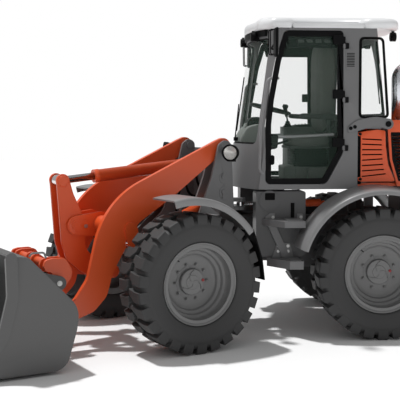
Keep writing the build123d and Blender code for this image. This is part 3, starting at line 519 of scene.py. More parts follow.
def repeatTree():                            # copies of a mesh, each turned and shifted by one more step
    tree, start, end = newTree("repeat", (("Count", "NodeSocketInt"), ("Turn", "NodeSocketVector"),
                                          ("Shift", "NodeSocketVector")))
    line = tree.nodes.new("GeometryNodeMeshLine")
    line.mode = "OFFSET"
    index = tree.nodes.new("GeometryNodeInputIndex")
    turn = tree.nodes.new("ShaderNodeVectorMath")
    turn.operation = "SCALE"
    for source, target in ((start.outputs["Count"], line.inputs["Count"]),
                           (start.outputs["Shift"], line.inputs["Offset"]),
                           (start.outputs["Turn"], turn.inputs[0]), (index.outputs[0], turn.inputs["Scale"])):
        tree.links.new(source, target)
    closeTree(tree, start, end, line.outputs[0], start.outputs["Geometry"], turn.outputs[0])
    return tree


def boltTree():                              # washer and six-sided head on each point, along its facing
    tree, start, end = newTree("boltHeads", (("Radius", "NodeSocketFloat"), ("Height", "NodeSocketFloat")))
    nodes, links = tree.nodes, tree.links
    head, washer = nodes.new("GeometryNodeMeshCylinder"), nodes.new("GeometryNodeMeshCylinder")
    head.inputs["Vertices"].default_value = boltLook["headSides"]
    washer.inputs["Vertices"].default_value = boltLook["washerSides"]
    both = nodes.new("GeometryNodeJoinGeometry")
    facing = nodes.new("GeometryNodeInputNamedAttribute")
    facing.data_type = "FLOAT_VECTOR"
    facing.inputs["Name"].default_value = "facing"
    align = nodes.new("FunctionNodeAlignEulerToVector")
    align.axis = "Z"
    for size, share, headInput, washerInput in (("Radius", "washerWide", "Radius", "Radius"),
                                                ("Height", "washerThin", "Depth", "Depth")):
        scaled = nodes.new("ShaderNodeMath")
        scaled.operation = "MULTIPLY"
        scaled.inputs[1].default_value = boltLook[share]
        links.new(start.outputs[size], head.inputs[headInput])
        links.new(start.outputs[size], scaled.inputs[0])
        links.new(scaled.outputs[0], washer.inputs[washerInput])
    links.new(head.outputs["Mesh"], both.inputs[0])
    links.new(washer.outputs["Mesh"], both.inputs[0])
    links.new(facing.outputs["Attribute"], align.inputs["Vector"])
    closeTree(tree, start, end, start.outputs["Geometry"], both.outputs[0], align.outputs[0])
    return tree


trees = {"repeat": repeatTree(), "bolts": boltTree()}


def grow(obj, kind, **values):               # runs a tree on obj and keeps its result as the mesh
    tree = trees[kind]
    modifier = obj.modifiers.new(kind, "NODES")
    modifier.node_group = tree
    for item in tree.interface.items_tree:
        if item.item_type == "SOCKET" and item.in_out == "INPUT" and item.name in values:
            modifier[item.identifier] = values[item.name]
    settle(obj)


def repeated(name, form, finish, body, place, count, turn=(0, 0, 0), shift=(0, 0, 0), smooth=35,
             mirrored=False):
    obj = piece(name, form, finish, None, Matrix.Identity(4))
    grow(obj, "repeat", Count=count, Turn=turn, Shift=shift, Finish=mats[finish])
    moved = bmesh.new()
    moved.from_mesh(obj.data)
    side = Matrix.Scale(-1 if mirrored else 1, 4, (0, 1, 0))
    bmesh.ops.transform(moved, matrix=place @ side, verts=moved.verts)
    if mirrored:
        bmesh.ops.reverse_faces(moved, faces=moved.faces)
    moved.to_mesh(obj.data)
    moved.free()
    dress(obj, finish, smooth)
    if body:
        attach(obj, body)
    return obj


def bolts(name, spots, facing, radius, height, finish, body, place):
    mesh = bpy.data.meshes.new(name)
    mesh.from_pydata([place @ Vector(s) for s in spots], [], [])
    attribute = mesh.attributes.new("facing", "FLOAT_VECTOR", "POINT")
    way = place.to_3x3() @ Vector(facing)
    for item in attribute.data:
        item.vector = way
    obj = linked(name, mesh)
    grow(obj, "bolts", Radius=radius, Height=height, Finish=mats[finish])
    dress(obj, finish, 35)
    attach(obj, body)


def together(name, objs, body, node):        # joins finished meshes into one piece that stands for a CAD node
    whole = bmesh.new()
    finishes = []
    for obj in objs:
        part = bmesh.new()
        graph = bpy.context.evaluated_depsgraph_get()
        part.from_object(obj, graph)
        material = obj.data.materials[0]
        if material not in finishes:
            finishes.append(material)
        for face in part.faces:
            face.material_index = finishes.index(material)
        mesh = bpy.data.meshes.new("part")
        part.to_mesh(mesh)
        part.free()
        whole.from_mesh(mesh)
    mesh = bpy.data.meshes.new(name)
    whole.to_mesh(mesh)
    whole.free()
    for obj in objs:
        bpy.data.objects.remove(obj)
    joined = linked(name, mesh)
    for material in finishes:
        joined.data.materials.append(material)
    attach(joined, body)
    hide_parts(node)


print("tools ready")


# CAD pieces kept as they are, with merged and smooth copies where curves show
skinFinish = {
    "orangePaint": ("hood", "side_panels", "lift_arms", "bell_crank", "tilt_link", "quick_coupler",
                    "tilt_barrel",
                    "lift_barrel_left", "lift_barrel_right", "steer_barrel"),
    "greyPaint": ("cab_frame", "front_frame", "hood_arms", "steps"),
    # the bucket takes the darkened grey, painted shade
    "bucketShadedPaint": ("bucket",),
    "lightGreyPaint": ("rear_fenders", "front_fenders"),
    "darkPaint": ("rear_frame", "counterweight", "fuel_tanks"),
    "castGrey": ("front_axle", "rear_axle", "engine_block"),
    "whiteRoof": ("cab_roof",),
    "blackPlastic": ("left_door", "right_door", "hood_grille", "cab_lamps"),
    "cabTrim": ("seat_base", "steering_column", "operator_console"),
    "greenGlass": ("cab_glass", "left_door_glass", "right_door_glass"),
    "exhaustChrome": ("exhaust_pipe",),
    "rodChrome": ("tilt_rod", "lift_rod_left", "lift_rod_right", "steer_rod"),
}
crispEdge = {"lift_arms": 0.004, "bell_crank": 0.004, "bucket": 0.003, "front_frame": 0.003,
             "quick_coupler": 0.004,
             "hood_arms": 0.003, "cab_frame": 0.003, "steps": 0.003, "counterweight": 0.006, "left_door": 0.003,
             "right_door": 0.003, "fuel_tanks": 0.003, "rear_frame": 0.002}
skinLook = {"merge": 0.00002, "flat": 0.6, "corner": 35, "smooth": 32}
flapZone = {"behindX": 0.592, "belowZ": 1.035, "outsideY": 0.650}    # rubber flaps behind the front tyres
frameBody = {}
for node, obj in frame["nodes"].items():
    for name, empty in frame["bodies"].items():
        if obj.parent == empty:
            frameBody[node] = name


def skin(node, finish):
    source = bmesh.new()
    source.from_mesh(frame["nodes"][node].data)
    bmesh.ops.remove_doubles(source, verts=source.verts, dist=skinLook["merge"])
    if node in crispEdge:
        bmesh.ops.dissolve_limit(source, angle_limit=math.radians(skinLook["flat"]), verts=source.verts,
                                 edges=source.edges)
    mesh = bpy.data.meshes.new(node + "_skin")
    source.to_mesh(mesh)
    source.free()
    obj = linked(node + "_skin", mesh)
    dress(obj, finish, skinLook["smooth"])
    if node in crispEdge:
        softEdge(obj, crispEdge[node], skinLook["corner"])
    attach(obj, frameBody[node])
    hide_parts(node)
    return obj


def blackenFlaps(obj):
    obj.data.materials.append(mats["blackPlastic"])
    for face in obj.data.polygons:
        spot = frontPlace.inverted() @ face.center
        if spot.x < flapZone["behindX"] and spot.z < flapZone["belowZ"] and abs(spot.y) > flapZone["outsideY"]:
            face.material_index = 1


for finish, names in skinFinish.items():
    for node in names:
        painted = skin(node, finish)
        if node == "front_fenders":
            blackenFlaps(painted)
print("painted bodies ready")

# wheels
wheelLook = {
    "axleX": 1.102, "track": 0.855, "tyreRadius": 0.589, "casing": 0.559, "halfWidth": 0.201, "bead": 0.305,
    "flange": 0.350, "rimHalf": 0.173, "barrelWall": 0.012, "flangeWall": 0.012, "boreRadius": 0.0455,
    "casingSteps": 104, "dishSteps": 96, "hubSteps": 56,
    "nutCircle": 0.152, "frontNuts": 10, "rearNuts": 8,
    "plugReach": 0.099, "plugTurn": 0.1, "valveTurn": 0.7, "valveRadius": 0.0045,
}
lugLook = {                          # one lug's outline in X and Y, then its rings: radius, shrink, shoulder
    "count": 26, "curve": 0.575, "outerStep": 0.003,
    "outline": [(-0.066, 0.007), (-0.018, 0.007), (0.044, 0.078), (0.044, 0.198), (-0.049, 0.198),
                (-0.049, 0.098)],
    "rings": [(0.505, -0.10, 0.199), (0.545, -0.05, 0.2005), (0.573, 0.0, 0.197), (0.583, 0.02, 0.192),
              (0.5888, 0.12, 0.184)],
}
vaneLook = {"count": 3, "steps": 9, "start": 0.012, "run": 0.090, "startTurn": 0.35, "sweep": 1.35,
            "twist": 0.6,
            "halfWidth": 0.0045, "foot": 0.033, "crest": 0.0425, "crestShare": 0.5}
nutShape = (                         # washer, nut and stud end: sides, then (along, radius)
    (16, [(-0.002, 0.0), (-0.002, 0.0165), (0.003, 0.0165), (0.003, 0.0)]),
    (6, [(0.002, 0.0), (0.002, 0.0135), (0.013, 0.0135), (0.015, 0.0115), (0.015, 0.0)]),
    (12, [(0.014, 0.0), (0.014, 0.0075), (0.020, 0.0075), (0.0215, 0.006), (0.0215, 0.0)]),
)
axleWay = (0, 1, 0)


def casingForm():
    look = wheelLook
    bead, half, casing = look["bead"], look["halfWidth"], look["casing"]
    profile = [(0.1605, bead + 0.0004), (0.1605, look["flange"] + 0.003), (0.172, 0.357), (0.180, 0.366),
               (0.1835, 0.374), (0.1855, 0.385), (0.1905, 0.396), (0.1945, 0.415), (0.1975, 0.435),
               (0.200, 0.455),
               (0.2008, 0.468), (half, 0.478), (0.2003, 0.490), (0.1970, 0.500), (0.1962, 0.512),
               (0.190, 0.526),
               (0.178, 0.540), (0.158, 0.550), (0.126, 0.5575), (0.080, casing), (0.030, casing + 0.001)]
    return Form().spun(profile + [(-a, r) for a, r in profile[::-1]], (0, 0, 0), axleWay, look["casingSteps"])


def lugRing(radius, shrink, shoulder):
    outline = lugLook["outline"]
    middle = sum(p[0] for p in outline) / len(outline)
    ring = []
    for x, y in outline:
        x = middle + (x - middle) * (1 - shrink) if shrink else x
        y = min(y, shoulder) - (lugLook["outerStep"] if shrink > 0.05 and y > 0.1 else 0)
        turn = x / lugLook["curve"]
        ring.append((radius * math.sin(turn), y, radius * math.cos(turn)))
    return ring


def lugForm(way):
    return Form().loft([[(x, way * y, z) for x, y, z in lugRing(*ring)] for ring in lugLook["rings"]])


def dishForm():
    look = wheelLook
    edge, bead, flange = look["rimHalf"], look["bead"], look["flange"]
    barrel = bead - look["barrelWall"]
    inside = edge - look["flangeWall"]
    return Form().spun([
        (0.0, 0.1335), (0.0, 0.203), (0.006, 0.222), (0.014, 0.233), (0.030, 0.239), (0.038, 0.244),
        (0.043, 0.256),
        (0.048, 0.267), (0.062, 0.272), (0.074, 0.276), (0.079, 0.286), (0.083, 0.296), (0.089, 0.2995),
        (0.106, 0.3035), (0.113, 0.3075), (0.130, 0.314), (0.150, 0.322), (0.162, 0.330), (0.1685, 0.338),
        (0.1725, 0.3445), (edge, flange - 0.003), (edge - 0.003, flange), (inside, flange), (inside, bead),
        (-inside, bead), (-inside, flange), (-edge, flange), (-edge, barrel), (-0.014, barrel),
        (-0.014, 0.1335),
    ], (0, 0, 0), axleWay, look["dishSteps"])


def hubForm():
    bore = wheelLook["boreRadius"]
    hub = Form().spun([(-0.150, bore), (-0.150, 0.112), (-0.016, 0.112), (-0.016, 0.140), (0.003, 0.140),
                       (0.0035, 0.116), (0.024, 0.113), (0.031, 0.1105), (0.034, 0.106), (0.034, 0.062),
                       (0.038, 0.058), (0.039, 0.0)], (0, 0, 0), axleWay, wheelLook["hubSteps"])
    return hub.spun([(-0.150, bore), (0.010, bore), (0.010, 0.0)], (0, 0, 0), axleWay, wheelLook["hubSteps"])


def vaneForm():
    look = vaneLook
    rings = []
    for k in range(look["steps"] + 1):
        t = k / look["steps"]
        radius, turn = look["start"] + look["run"] * t, look["startTurn"] + look["sweep"] * t
        x, z = radius * math.cos(turn), radius * math.sin(turn)
        u, v = -math.sin(turn + look["twist"]), math.cos(turn + look["twist"])
        foot, crest = look["halfWidth"], look["halfWidth"] * look["crestShare"]
        rings.append([(x - u * foot, look["foot"], z - v * foot), (x + u * foot, look["foot"], z + v * foot),
                      (x + u * crest, look["crest"], z + v * crest),
                      (x - u * crest, look["crest"], z - v * crest)])
    return Form().loft(rings)


def wheel(end, hand, sign):
    look = wheelLook
    front = end == "front"
    base = frontPlace if front else rearPlace
    centre = (look["axleX"] * (1 if front else -1), sign * look["track"], look["tyreRadius"])
    place = base @ Matrix.Translation(centre)
    body = f"wheel_{end}_{hand}"
    flip = sign < 0
    step = 2 * math.pi / lugLook["count"]
    shifted = place @ Matrix.Rotation(step / 2 * (-1 if flip else 1), 4, "Y")
    tread = [piece("casing", casingForm(), "tyreRubber", None, place, smooth=50, mirrored=flip)]
    for name, way, lugPlace in (("lugsNear", 1, place), ("lugsFar", -1, shifted)):
        tread.append(repeated(name, lugForm(way), "tyreRubber", None, lugPlace, lugLook["count"],
                              turn=(0, step, 0), smooth=25, mirrored=flip))
    together(f"tyre_{end}_{hand}_tread", tread, body, f"tyre_{end}_{hand}")

    count = look["frontNuts"] if front else look["rearNuts"]
    nut = Form()
    for sides, profile in nutShape:
        nut.spun(profile, (0, 0, look["nutCircle"]), axleWay, sides)
    rim = [piece("dish", dishForm(), "rimPaint", None, place, smooth=30, mirrored=flip),
           piece("hub", hubForm(), "rimPaint", None, place, smooth=30, mirrored=flip),
           repeated("vanes", vaneForm(), "rimPaint", None, place, vaneLook["count"],
                    turn=(0, 2 * math.pi / vaneLook["count"], 0), mirrored=flip),
           repeated("nuts", nut, "rimPaint", None, place @ Matrix.Rotation(math.pi / count, 4, "Y"), count,
                    turn=(0, 2 * math.pi / count, 0), mirrored=flip)]
    together(f"rim_{end}_{hand}_dish", rim, body, f"rim_{end}_{hand}")
    reach, turn = look["plugReach"], look["plugTurn"]
    plug = Form().spun([(0.030, 0.0), (0.030, 0.0125), (0.040, 0.0125), (0.042, 0.0105), (0.042, 0.0)],
                       (-reach * math.cos(turn), 0, reach * turn), axleWay, 20)
    piece(f"hub_plug_{end}_{hand}", plug, "redPlug", body, place, mirrored=flip)
    stem = Form().tube([(0.0, 0.044, 0.262), (0.0, 0.075, 0.262), (0.0, 0.093, 0.253)], look["valveRadius"], 8)
    piece(f"valve_{end}_{hand}", stem, "blackPlastic", body, place @ Matrix.Rotation(look["valveTurn"], 4, "Y"),
          mirrored=flip)


for end in ("front", "rear"):
    for hand, sign in bothHands:
        wheel(end, hand, sign)
print("wheels ready")

# cab outside
cabLook = {
    "half": 0.690, "hingeHeights": (1.760, 2.200, 2.690), "frontRadius": 1.360, "floor": 1.330,
    "frontLow": 0.150,
    "lean": -0.1327, "rearLow": -1.358, "rearLean": 0.1041, "rearRadius": 2.400,
}
sealLook = {"halfWidth": 0.570, "corner": 0.07, "radius": 0.016, "flat": 0.6, "longSide": 0.2, "steps": 10,
            "front": (1.741, 2.720), "rear": (2.010, 2.700), "off": 0.004}
quarterLook = {
    "inner": [(-0.975, 2.000), (-0.975, 2.700), (-1.165, 2.700), (-1.215, 2.000)], "innerCorner": 0.03,
    "outer": [(-0.950, 1.980), (-0.950, 2.722), (-1.182, 2.722), (-1.238, 1.980)], "outerCorner": 0.05,
}
ventLook = {"x": -0.872, "z": 2.514, "halfLong": 0.046, "halfTall": 0.108, "slits": 9, "slitStep": 0.0145,
            "screwHeights": (2.424, 2.604), "screwSize": 0.005}
black = "blackPlastic"


def rectangle(u0, u1, v0, v1):
    return [(u0, v0), (u1, v0), (u1, v1), (u0, v1)]


def onArc(radius, y):                        # how far a curved pane falls back from its middle
    return radius - math.sqrt(radius ** 2 - y * y)


def screenX(y, z):                           # windscreen's outer face
    return cabLook["frontLow"] + cabLook["lean"] * (z - cabLook["floor"]) - onArc(cabLook["frontRadius"], y)


def backX(y, z):                             # rear window's outer face
    return cabLook["rearLow"] + cabLook["rearLean"] * (z - cabLook["floor"]) + onArc(cabLook["rearRadius"], y)


def onGlass(face, spots, off):
    return [(face(y, z) + off, y, z) for y, z in spots]


def frameAround(face, low, high, off):
    half = sealLook["halfWidth"]
    loop = roundedOutline([(-half, low), (half, low), (half, high), (-half, high)], sealLook["corner"], 6)
    spots = []
    for a, b in zip(loop, loop[1:] + loop[:1]):
        steps = sealLook["steps"] if math.dist(a, b) > sealLook["longSide"] else 1
        for k in range(steps):
            t = k / steps
            spots.append((a[0] + (b[0] - a[0]) * t, a[1] + (b[1] - a[1]) * t))
    return onGlass(face, spots, off)


def sealForm(spots):                         # closed rubber bead along a loop
    radius = sealLook["radius"]
    rings = []
    points = [Vector(p) for p in spots]
    for i, spot in enumerate(points):
        ahead = (points[(i + 1) % len(points)] - points[i - 1]).normalized()
        u = Vector((1, 0, 0)) if abs(ahead.x) < 0.9 else Vector((0, 1, 0))
        u = (u - ahead * u.dot(ahead)).normalized()
        v = ahead.cross(u)
        rings.append([spot + u * (radius * sealLook["flat"] * math.cos(math.pi * k / 4))
                      + v * (radius * math.sin(math.pi * k / 4)) for k in range(8)])
    return Form().loft(rings, wrap=True)


for name, face, heights, off in (("windscreen_seal", screenX, sealLook["front"], -sealLook["off"]),
                                 ("rear_window_seal", backX, sealLook["rear"], sealLook["off"])):
    piece(name, sealForm(frameAround(face, *heights, off)), "rubberSeal", "rear_frame", rearPlace, smooth=60)


def cabSide(hand, sign):
    flip = sign < 0
    half = cabLook["half"]
    look = quarterLook
    seal = Form().ring(roundedOutline(look["outer"], look["outerCorner"]),
                       roundedOutline(look["inner"], look["innerCorner"]), half - 0.016, half + 0.003)
    piece(f"quarter_seal_{hand}", seal, "rubberSeal", "rear_frame", rearPlace, mirrored=flip)
    look = ventLook
    vent = Form().side(oval(look["x"], look["z"], look["halfLong"], look["halfTall"]), half - 0.002,
                       half + 0.004)
    piece(f"pillar_vent_{hand}", vent, "greyPaint", "rear_frame", rearPlace, edge=0.0015, mirrored=flip)
    # painted shade: the vent's slits are near-black boxes standing in for the shade inside the slots
    slit = Form().box(-0.908, -0.836, half + 0.0030, half + 0.0052, 2.452, 2.459)
    repeated(f"pillar_vent_slits_{hand}", slit, "paintedOpeningShade", "rear_frame", rearPlace, look["slits"],
             shift=(0, 0, look["slitStep"]), mirrored=flip)
    bolts(f"pillar_vent_screws_{hand}", [(look["x"], sign * (half + 0.005), z) for z in look["screwHeights"]],
          (0, sign, 0), look["screwSize"], look["screwSize"], "greyPaint", "rear_frame", rearPlace)
    for i, z in enumerate(cabLook["hingeHeights"]):
        outline = [(-0.799, z - 0.042), (-0.799, z + 0.042), (-0.703, z + 0.042), (-0.703, z - 0.042)]
        cover = Form().side(roundedOutline(outline, 0.012), half + 0.001, half + 0.031)
        piece(f"{hand}_hinge_cover_{i}", cover, black, f"{hand}_door", rearPlace, edge=0.003, mirrored=flip)
        outline = [(-0.853, z - 0.078), (-0.853, z - 0.026), (-0.822, z - 0.026), (-0.822, z - 0.078)]
        leaf = Form().side(roundedOutline(outline, 0.006), half - 0.002, half + 0.020)
        piece(f"{hand}_hinge_leaf_{i}", leaf, black, "rear_frame", rearPlace, edge=0.002, mirrored=flip)


doorLook = {
    "railRadius": 0.013, "railInset": 0.060, "railReach": 0.100, "railX": (-0.150, -0.700, -0.740),
    "railZ": (1.800, 1.830), "lockOutline": [(-0.130, 1.690), (-0.205, 1.705), (-0.215, 1.830),
                                             (-0.135, 1.842)],
    "leverRadius": 0.011, "handle": (-0.150, 1.600, 0.022, 0.045), "grabRadius": 0.013, "grabCorner": 0.07,
}


def doorFittings(hand, sign):
    flip = sign < 0
    half = cabLook["half"]
    look = doorLook
    near, far, heel = look["railX"]
    low, high = look["railZ"]
    inset, reach = half - look["railInset"], half - look["railReach"]
    rail = Form().tube(bent([(near, inset, low), (near, reach, low), (far, reach, high), (heel, inset, high)],
                            0.04),
                       look["railRadius"], 14)
    piece(f"{hand}_door_rail", rail, "lightGreyPaint", f"{hand}_door", rearPlace, smooth=60, mirrored=flip)
    lock = Form().side(roundedOutline(look["lockOutline"], 0.02), half - 0.100, half - 0.030)
    lock.tube([(-0.190, half - 0.080, 1.742), (-0.240, half - 0.095, 1.752), (-0.318, half - 0.095, 1.776)],
              look["leverRadius"], 10)
    piece(f"{hand}_door_lock", lock, black, f"{hand}_door", rearPlace, edge=0.003, mirrored=flip)
    handle = Form().side(oval(*look["handle"]), half - 0.001, half + 0.010)
    handle.box(-0.158, -0.142, half + 0.008, half + 0.024, 1.572, 1.628)
    piece(f"{hand}_door_handle", handle, black, f"{hand}_door", rearPlace, edge=0.003, mirrored=flip)
    outer = half + 0.004
    grab = Form().tube(bent([(-0.215, half - 0.045, 2.345), (-0.105, outer, 2.345), (-0.045, outer, 1.900),
                             (-0.035, outer, 1.500), (-0.078, half - 0.015, 1.470)], look["grabCorner"]),
                       look["grabRadius"], 14)
    piece(f"cab_grab_{hand}", grab, "lightGreyPaint", "rear_frame", rearPlace, smooth=60, mirrored=flip)


for hand, sign in bothHands:
    cabSide(hand, sign)
    doorFittings(hand, sign)

wiperLook = {"bladeRadius": 0.006, "rearArmRadius": 0.007, "frontMotor": 1.78, "rearMotor": 2.70}
base = screenX(0.1, wiperLook["frontMotor"])
wiper = Form().box(base + 0.002, base + 0.040, 0.075, 0.125, 1.765, 1.800)
wiper.tube(onGlass(screenX, [(0.100, 1.785), (0.085, 1.95), (0.060, 2.12)], 0.030), wiperLook["bladeRadius"], 8)
wiper.tube(onGlass(screenX, [(0.045, 1.86), (0.050, 2.0), (0.060, 2.12), (0.064, 2.25), (0.066, 2.38)], 0.014),
           wiperLook["bladeRadius"], 8)
piece("front_wiper", wiper, black, "rear_frame", rearPlace)
base = backX(0.2, wiperLook["rearMotor"])
wiper = Form().box(base - 0.045, base - 0.002, 0.165, 0.235, 2.690, 2.750)
wiper.tube(onGlass(backX, [(0.200, 2.70), (0.205, 2.52), (0.220, 2.36)], -0.034), wiperLook["rearArmRadius"], 8)
wiper.tube(onGlass(backX, [(0.232, 2.12), (0.225, 2.25), (0.220, 2.36), (0.214, 2.50)], -0.014),
           wiperLook["bladeRadius"], 8)
piece("rear_wiper", wiper, black, "rear_frame", rearPlace)

visorLook = {"half": 0.52, "step": 0.104, "atZ": 2.76, "depth": 0.036, "back": 0.006, "low": 2.738,
             "high": 2.799,
             "bracketY": 0.35, "bracketHalf": 0.028, "bracketZ": 2.745, "gutterY": 0.662, "gutterHalf": 0.010}
look = visorLook
across = [look["half"] - look["step"] * k for k in range(11)]
back = [-look["half"] + look["step"] * k for k in range(11)]
visor = Form().plan([(screenX(y, look["atZ"]) + look["depth"], y) for y in across]
                    + [(screenX(y, look["atZ"]) + look["back"], y) for y in back], look["low"], look["high"])
for y in (look["bracketY"], -look["bracketY"]):
    x = screenX(y, look["bracketZ"])
    visor.box(x + 0.005, x + 0.050, y - look["bracketHalf"], y + look["bracketHalf"], 2.700, 2.760)
piece("roof_visor", visor, black, "rear_frame", rearPlace, edge=0.004)
gutter = Form()
for hand, sign in bothHands:
    y = sign * look["gutterY"]
    gutter.box(-1.12, -0.22, y - look["gutterHalf"], y + look["gutterHalf"], 2.781, 2.802)
piece("roof_gutter", gutter, black, "rear_frame", rearPlace, edge=0.003)

# mirrors and lamps
mirrorLook = {"yz": (0.775, 0.915, 2.525, 2.785), "rimInset": 0.006, "glassInset": (0.012, 0.014),
              "corner": 0.035,
              "stalkRadius": 0.009, "guardRadius": 0.005, "guardY": (0.800, 0.890)}


def insetOutline(du, dv, corner):
    y0, y1, z0, z1 = mirrorLook["yz"]
    return roundedOutline(rectangle(y0 + du, y1 - du, z0 + dv, z1 - dv), corner)


mirrorParts = []
for hand, sign in bothHands:
    flip = sign < 0
    look = mirrorLook
    head = Form().end(insetOutline(0, 0, look["corner"]), -0.168, -0.150)
    head.end(insetOutline(look["rimInset"], look["rimInset"], 0.03), -0.152, -0.142)
    stalk = Form().tube(bent([(-0.200, 0.662, 2.600), (-0.140, 0.672, 2.610), (-0.150, 0.760, 2.640),
                              (-0.158, 0.800, 2.640)], 0.02), look["stalkRadius"], 10)
    guard = Form()
    for y in look["guardY"]:
        guard.tube(bent([(-0.135, y, 2.545), (-0.100, y, 2.545), (-0.096, y, 2.765), (-0.135, y, 2.765)], 0.02),
                   look["guardRadius"], 8)
    mirrorParts += [piece("head", head, black, None, rearPlace, edge=0.003, mirrored=flip),
                    piece("stalk", stalk, black, None, rearPlace, smooth=60, mirrored=flip),
                    piece("guard", guard, black, None, rearPlace, smooth=60, mirrored=flip)]
    plate = Form().end(insetOutline(*look["glassInset"], 0.028), -0.1705, -0.167)
    piece(f"mirror_glass_{hand}", plate, "rodChrome", "rear_frame", rearPlace, mirrored=flip)
together("mirror_heads", mirrorParts, "rear_frame", "mirrors")

lampLook = {                         # profiles as (along, radius) from the lamp's middle
    "centre": (0.536, 0.600, 1.670), "toeOut": 38, "steps": 40,
    "shell": [(-0.046, 0.0), (-0.046, 0.030), (-0.038, 0.046), (-0.016, 0.068), (0.012, 0.076), (0.040, 0.078),
              (0.046, 0.074), (0.036, 0.0625), (0.004, 0.030), (0.000, 0.0)],
    "reflector": [(0.006, 0.0), (0.008, 0.026), (0.030, 0.056), (0.036, 0.0605), (0.033, 0.062), (0.004, 0.034),
                  (0.002, 0.0)],
    "lens": [(0.034, 0.0), (0.034, 0.060), (0.038, 0.062), (0.048, 0.052), (0.056, 0.034), (0.060, 0.014),
             (0.061, 0.0)],
    "brackets": ((0.505, 0.535, 0.425, 0.560, 1.655, 1.690), (0.500, 0.545, 0.535, 0.620, 1.590, 1.612)),
}
lampHousings = []
for hand, sign in bothHands:
    look = lampLook
    toeOut = math.radians(look["toeOut"])
    aim = (math.cos(toeOut), sign * math.sin(toeOut), 0.0)
    centre = (look["centre"][0], sign * look["centre"][1], look["centre"][2])
    shell = Form().spun(look["shell"], centre, aim, look["steps"])
    for x0, x1, y0, y1, z0, z1 in look["brackets"]:
        shell.box(x0, x1, min(sign * y0, sign * y1), max(sign * y0, sign * y1), z0, z1)
    lampHousings.append(piece("shell", shell, black, None, frontPlace, edge=0.002))
    for name, finish in (("reflector", "reflector"), ("lens", "lampGlass")):
        piece(f"headlamp_{name}_{hand}", Form().spun(look[name], centre, aim, look["steps"]), finish,
              "front_frame",
              frontPlace, smooth=60)
together("headlamp_housings", lampHousings, "front_frame", "headlamps")
print("cab outside ready")
# cab inside
seatLook = {
    "back": (-0.765, 0.0, 2.28), "backHalf": (0.085, 0.235, 0.435), "backPower": 5.0, "backCuts": 36,
    "backSeams": ((1, 0.150, 0), (1, -0.150, 0), (2, 2.060, 0), (2, 2.220, 0), (2, 2.420, 0)),
    "cushion": (-0.600, 0.0, 1.765), "cushionHalf": (0.205, 0.240, 0.068), "cushionPower": 4.5,
    "cushionCuts": 28,
    "cushionSeams": ((1, 0.150, 2), (1, -0.150, 2), (0, -0.520, 2), (0, -0.680, 2)),
    "seamDepth": 0.014, "seamWidth": 0.010, "seamFree": 0.3, "fill": 0.85,
    "backShell": [(-0.705, 1.815), (-0.735, 1.815), (-0.850, 1.900), (-0.868, 2.640), (-0.835, 2.700),
                  (-0.810, 2.640), (-0.800, 1.930)],
    "pan": [(-0.790, 1.690), (-0.400, 1.690), (-0.400, 1.715), (-0.790, 1.720)],
    "armrest": [(-0.860, 1.962), (-0.500, 1.985), (-0.478, 2.005), (-0.500, 2.030), (-0.860, 2.018)],
    "armrestFoot": [(-0.800, 1.830), (-0.770, 1.830), (-0.740, 1.975), (-0.790, 1.975)],
    "folds": 7, "foldStep": 0.0235,
}
look = seatLook
seat = Form()
for part in ("cushion", "back"):
    seat.pad(look[part], look[part + "Half"], look[part + "Power"], look[part + "Cuts"], look[part + "Seams"],
             look["seamDepth"], look["seamWidth"], look["seamFree"])
cover = piece("seat_padding", seat, "seatFabric", "rear_frame", rearPlace, smooth=75)
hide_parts("seat_cushions")
shell = Form().side(roundedOutline(look["backShell"], 0.03), -0.205, 0.205)
shell.side(roundedOutline(look["pan"], 0.008), -0.225, 0.225)
piece("seat_shell", shell, "seatShell", "rear_frame", rearPlace, edge=0.004)
for hand, sign in bothHands:
    rest = Form().side(roundedOutline(look["armrest"], 0.018), 0.262, 0.325)
    rest.side(roundedOutline(look["armrestFoot"], 0.01), 0.235, 0.265)
    piece(f"seat_armrest_{hand}", rest, "seatShell", "rear_frame", rearPlace, edge=0.006, mirrored=sign < 0)
fold = Form().plan(roundedOutline(rectangle(-0.795, -0.445, -0.185, 0.185), 0.05), 1.516, 1.533)
repeated("seat_bellows", fold, black, "rear_frame", rearPlace, look["folds"], shift=(0, 0, look["foldStep"]))
core = Form().plan(roundedOutline(rectangle(-0.780, -0.460, -0.170, 0.170), 0.05), 1.512, 1.694)
piece("seat_bellows_core", core, black, "rear_frame", rearPlace)
plinth = Form()
for outline, y0, y1 in (([(-0.470, 1.368), (-0.360, 1.368), (-0.355, 1.520), (-0.470, 1.530)], -0.16, 0.16),
                        ([(-0.815, 1.368), (-0.580, 1.368), (-0.575, 1.500), (-0.815, 1.505)], 0.175, 0.26)):
    plinth.side(roundedOutline(outline, 0.02), y0, y1)
piece("seat_plinth", plinth, "cabTrim", "rear_frame", rearPlace, edge=0.006)

steeringLook = {
    "centre": (-0.245, 0.0, 2.075), "tilt": -14.0, "radius": 0.195, "grip": 0.0148, "steps": 56,
    "gripSteps": 12,
    "spokes": 3, "spokeRings": ((0.028, 0.026, 0.024, -0.006, 0.010), (0.110, 0.014, 0.013, -0.010, 0.004),
                                (0.186, 0.018, 0.017, -0.008, 0.006)),      # reach, half widths, bottom, top
    "boss": [(-0.018, 0.0), (-0.018, 0.038), (0.014, 0.050), (0.022, 0.044), (0.025, 0.0)],
    "knob": [(0.0, 0.0), (0.0, 0.010), (0.020, 0.012), (0.030, 0.021), (0.046, 0.024), (0.060, 0.018),
             (0.066, 0.0)],
    "knobPlace": (-0.120, 0.150, 0.008),
}
look = steeringLook
tilt = Matrix.Translation(look["centre"]) @ Matrix.Rotation(math.radians(look["tilt"]), 4, "Y")
rings = []
for i in range(look["steps"]):
    a = 2 * math.pi * i / look["steps"]
    spot = Vector((math.cos(a), math.sin(a), 0))
    turns = [2 * math.pi * k / look["gripSteps"] for k in range(look["gripSteps"])]
    rings.append([spot * (look["radius"] + look["grip"] * math.cos(t))
                  + Vector((0, 0, look["grip"] * math.sin(t))) for t in turns])
rimPart = piece("rim", Form().loft(rings, wrap=True), black, None, rearPlace @ tilt, smooth=60)
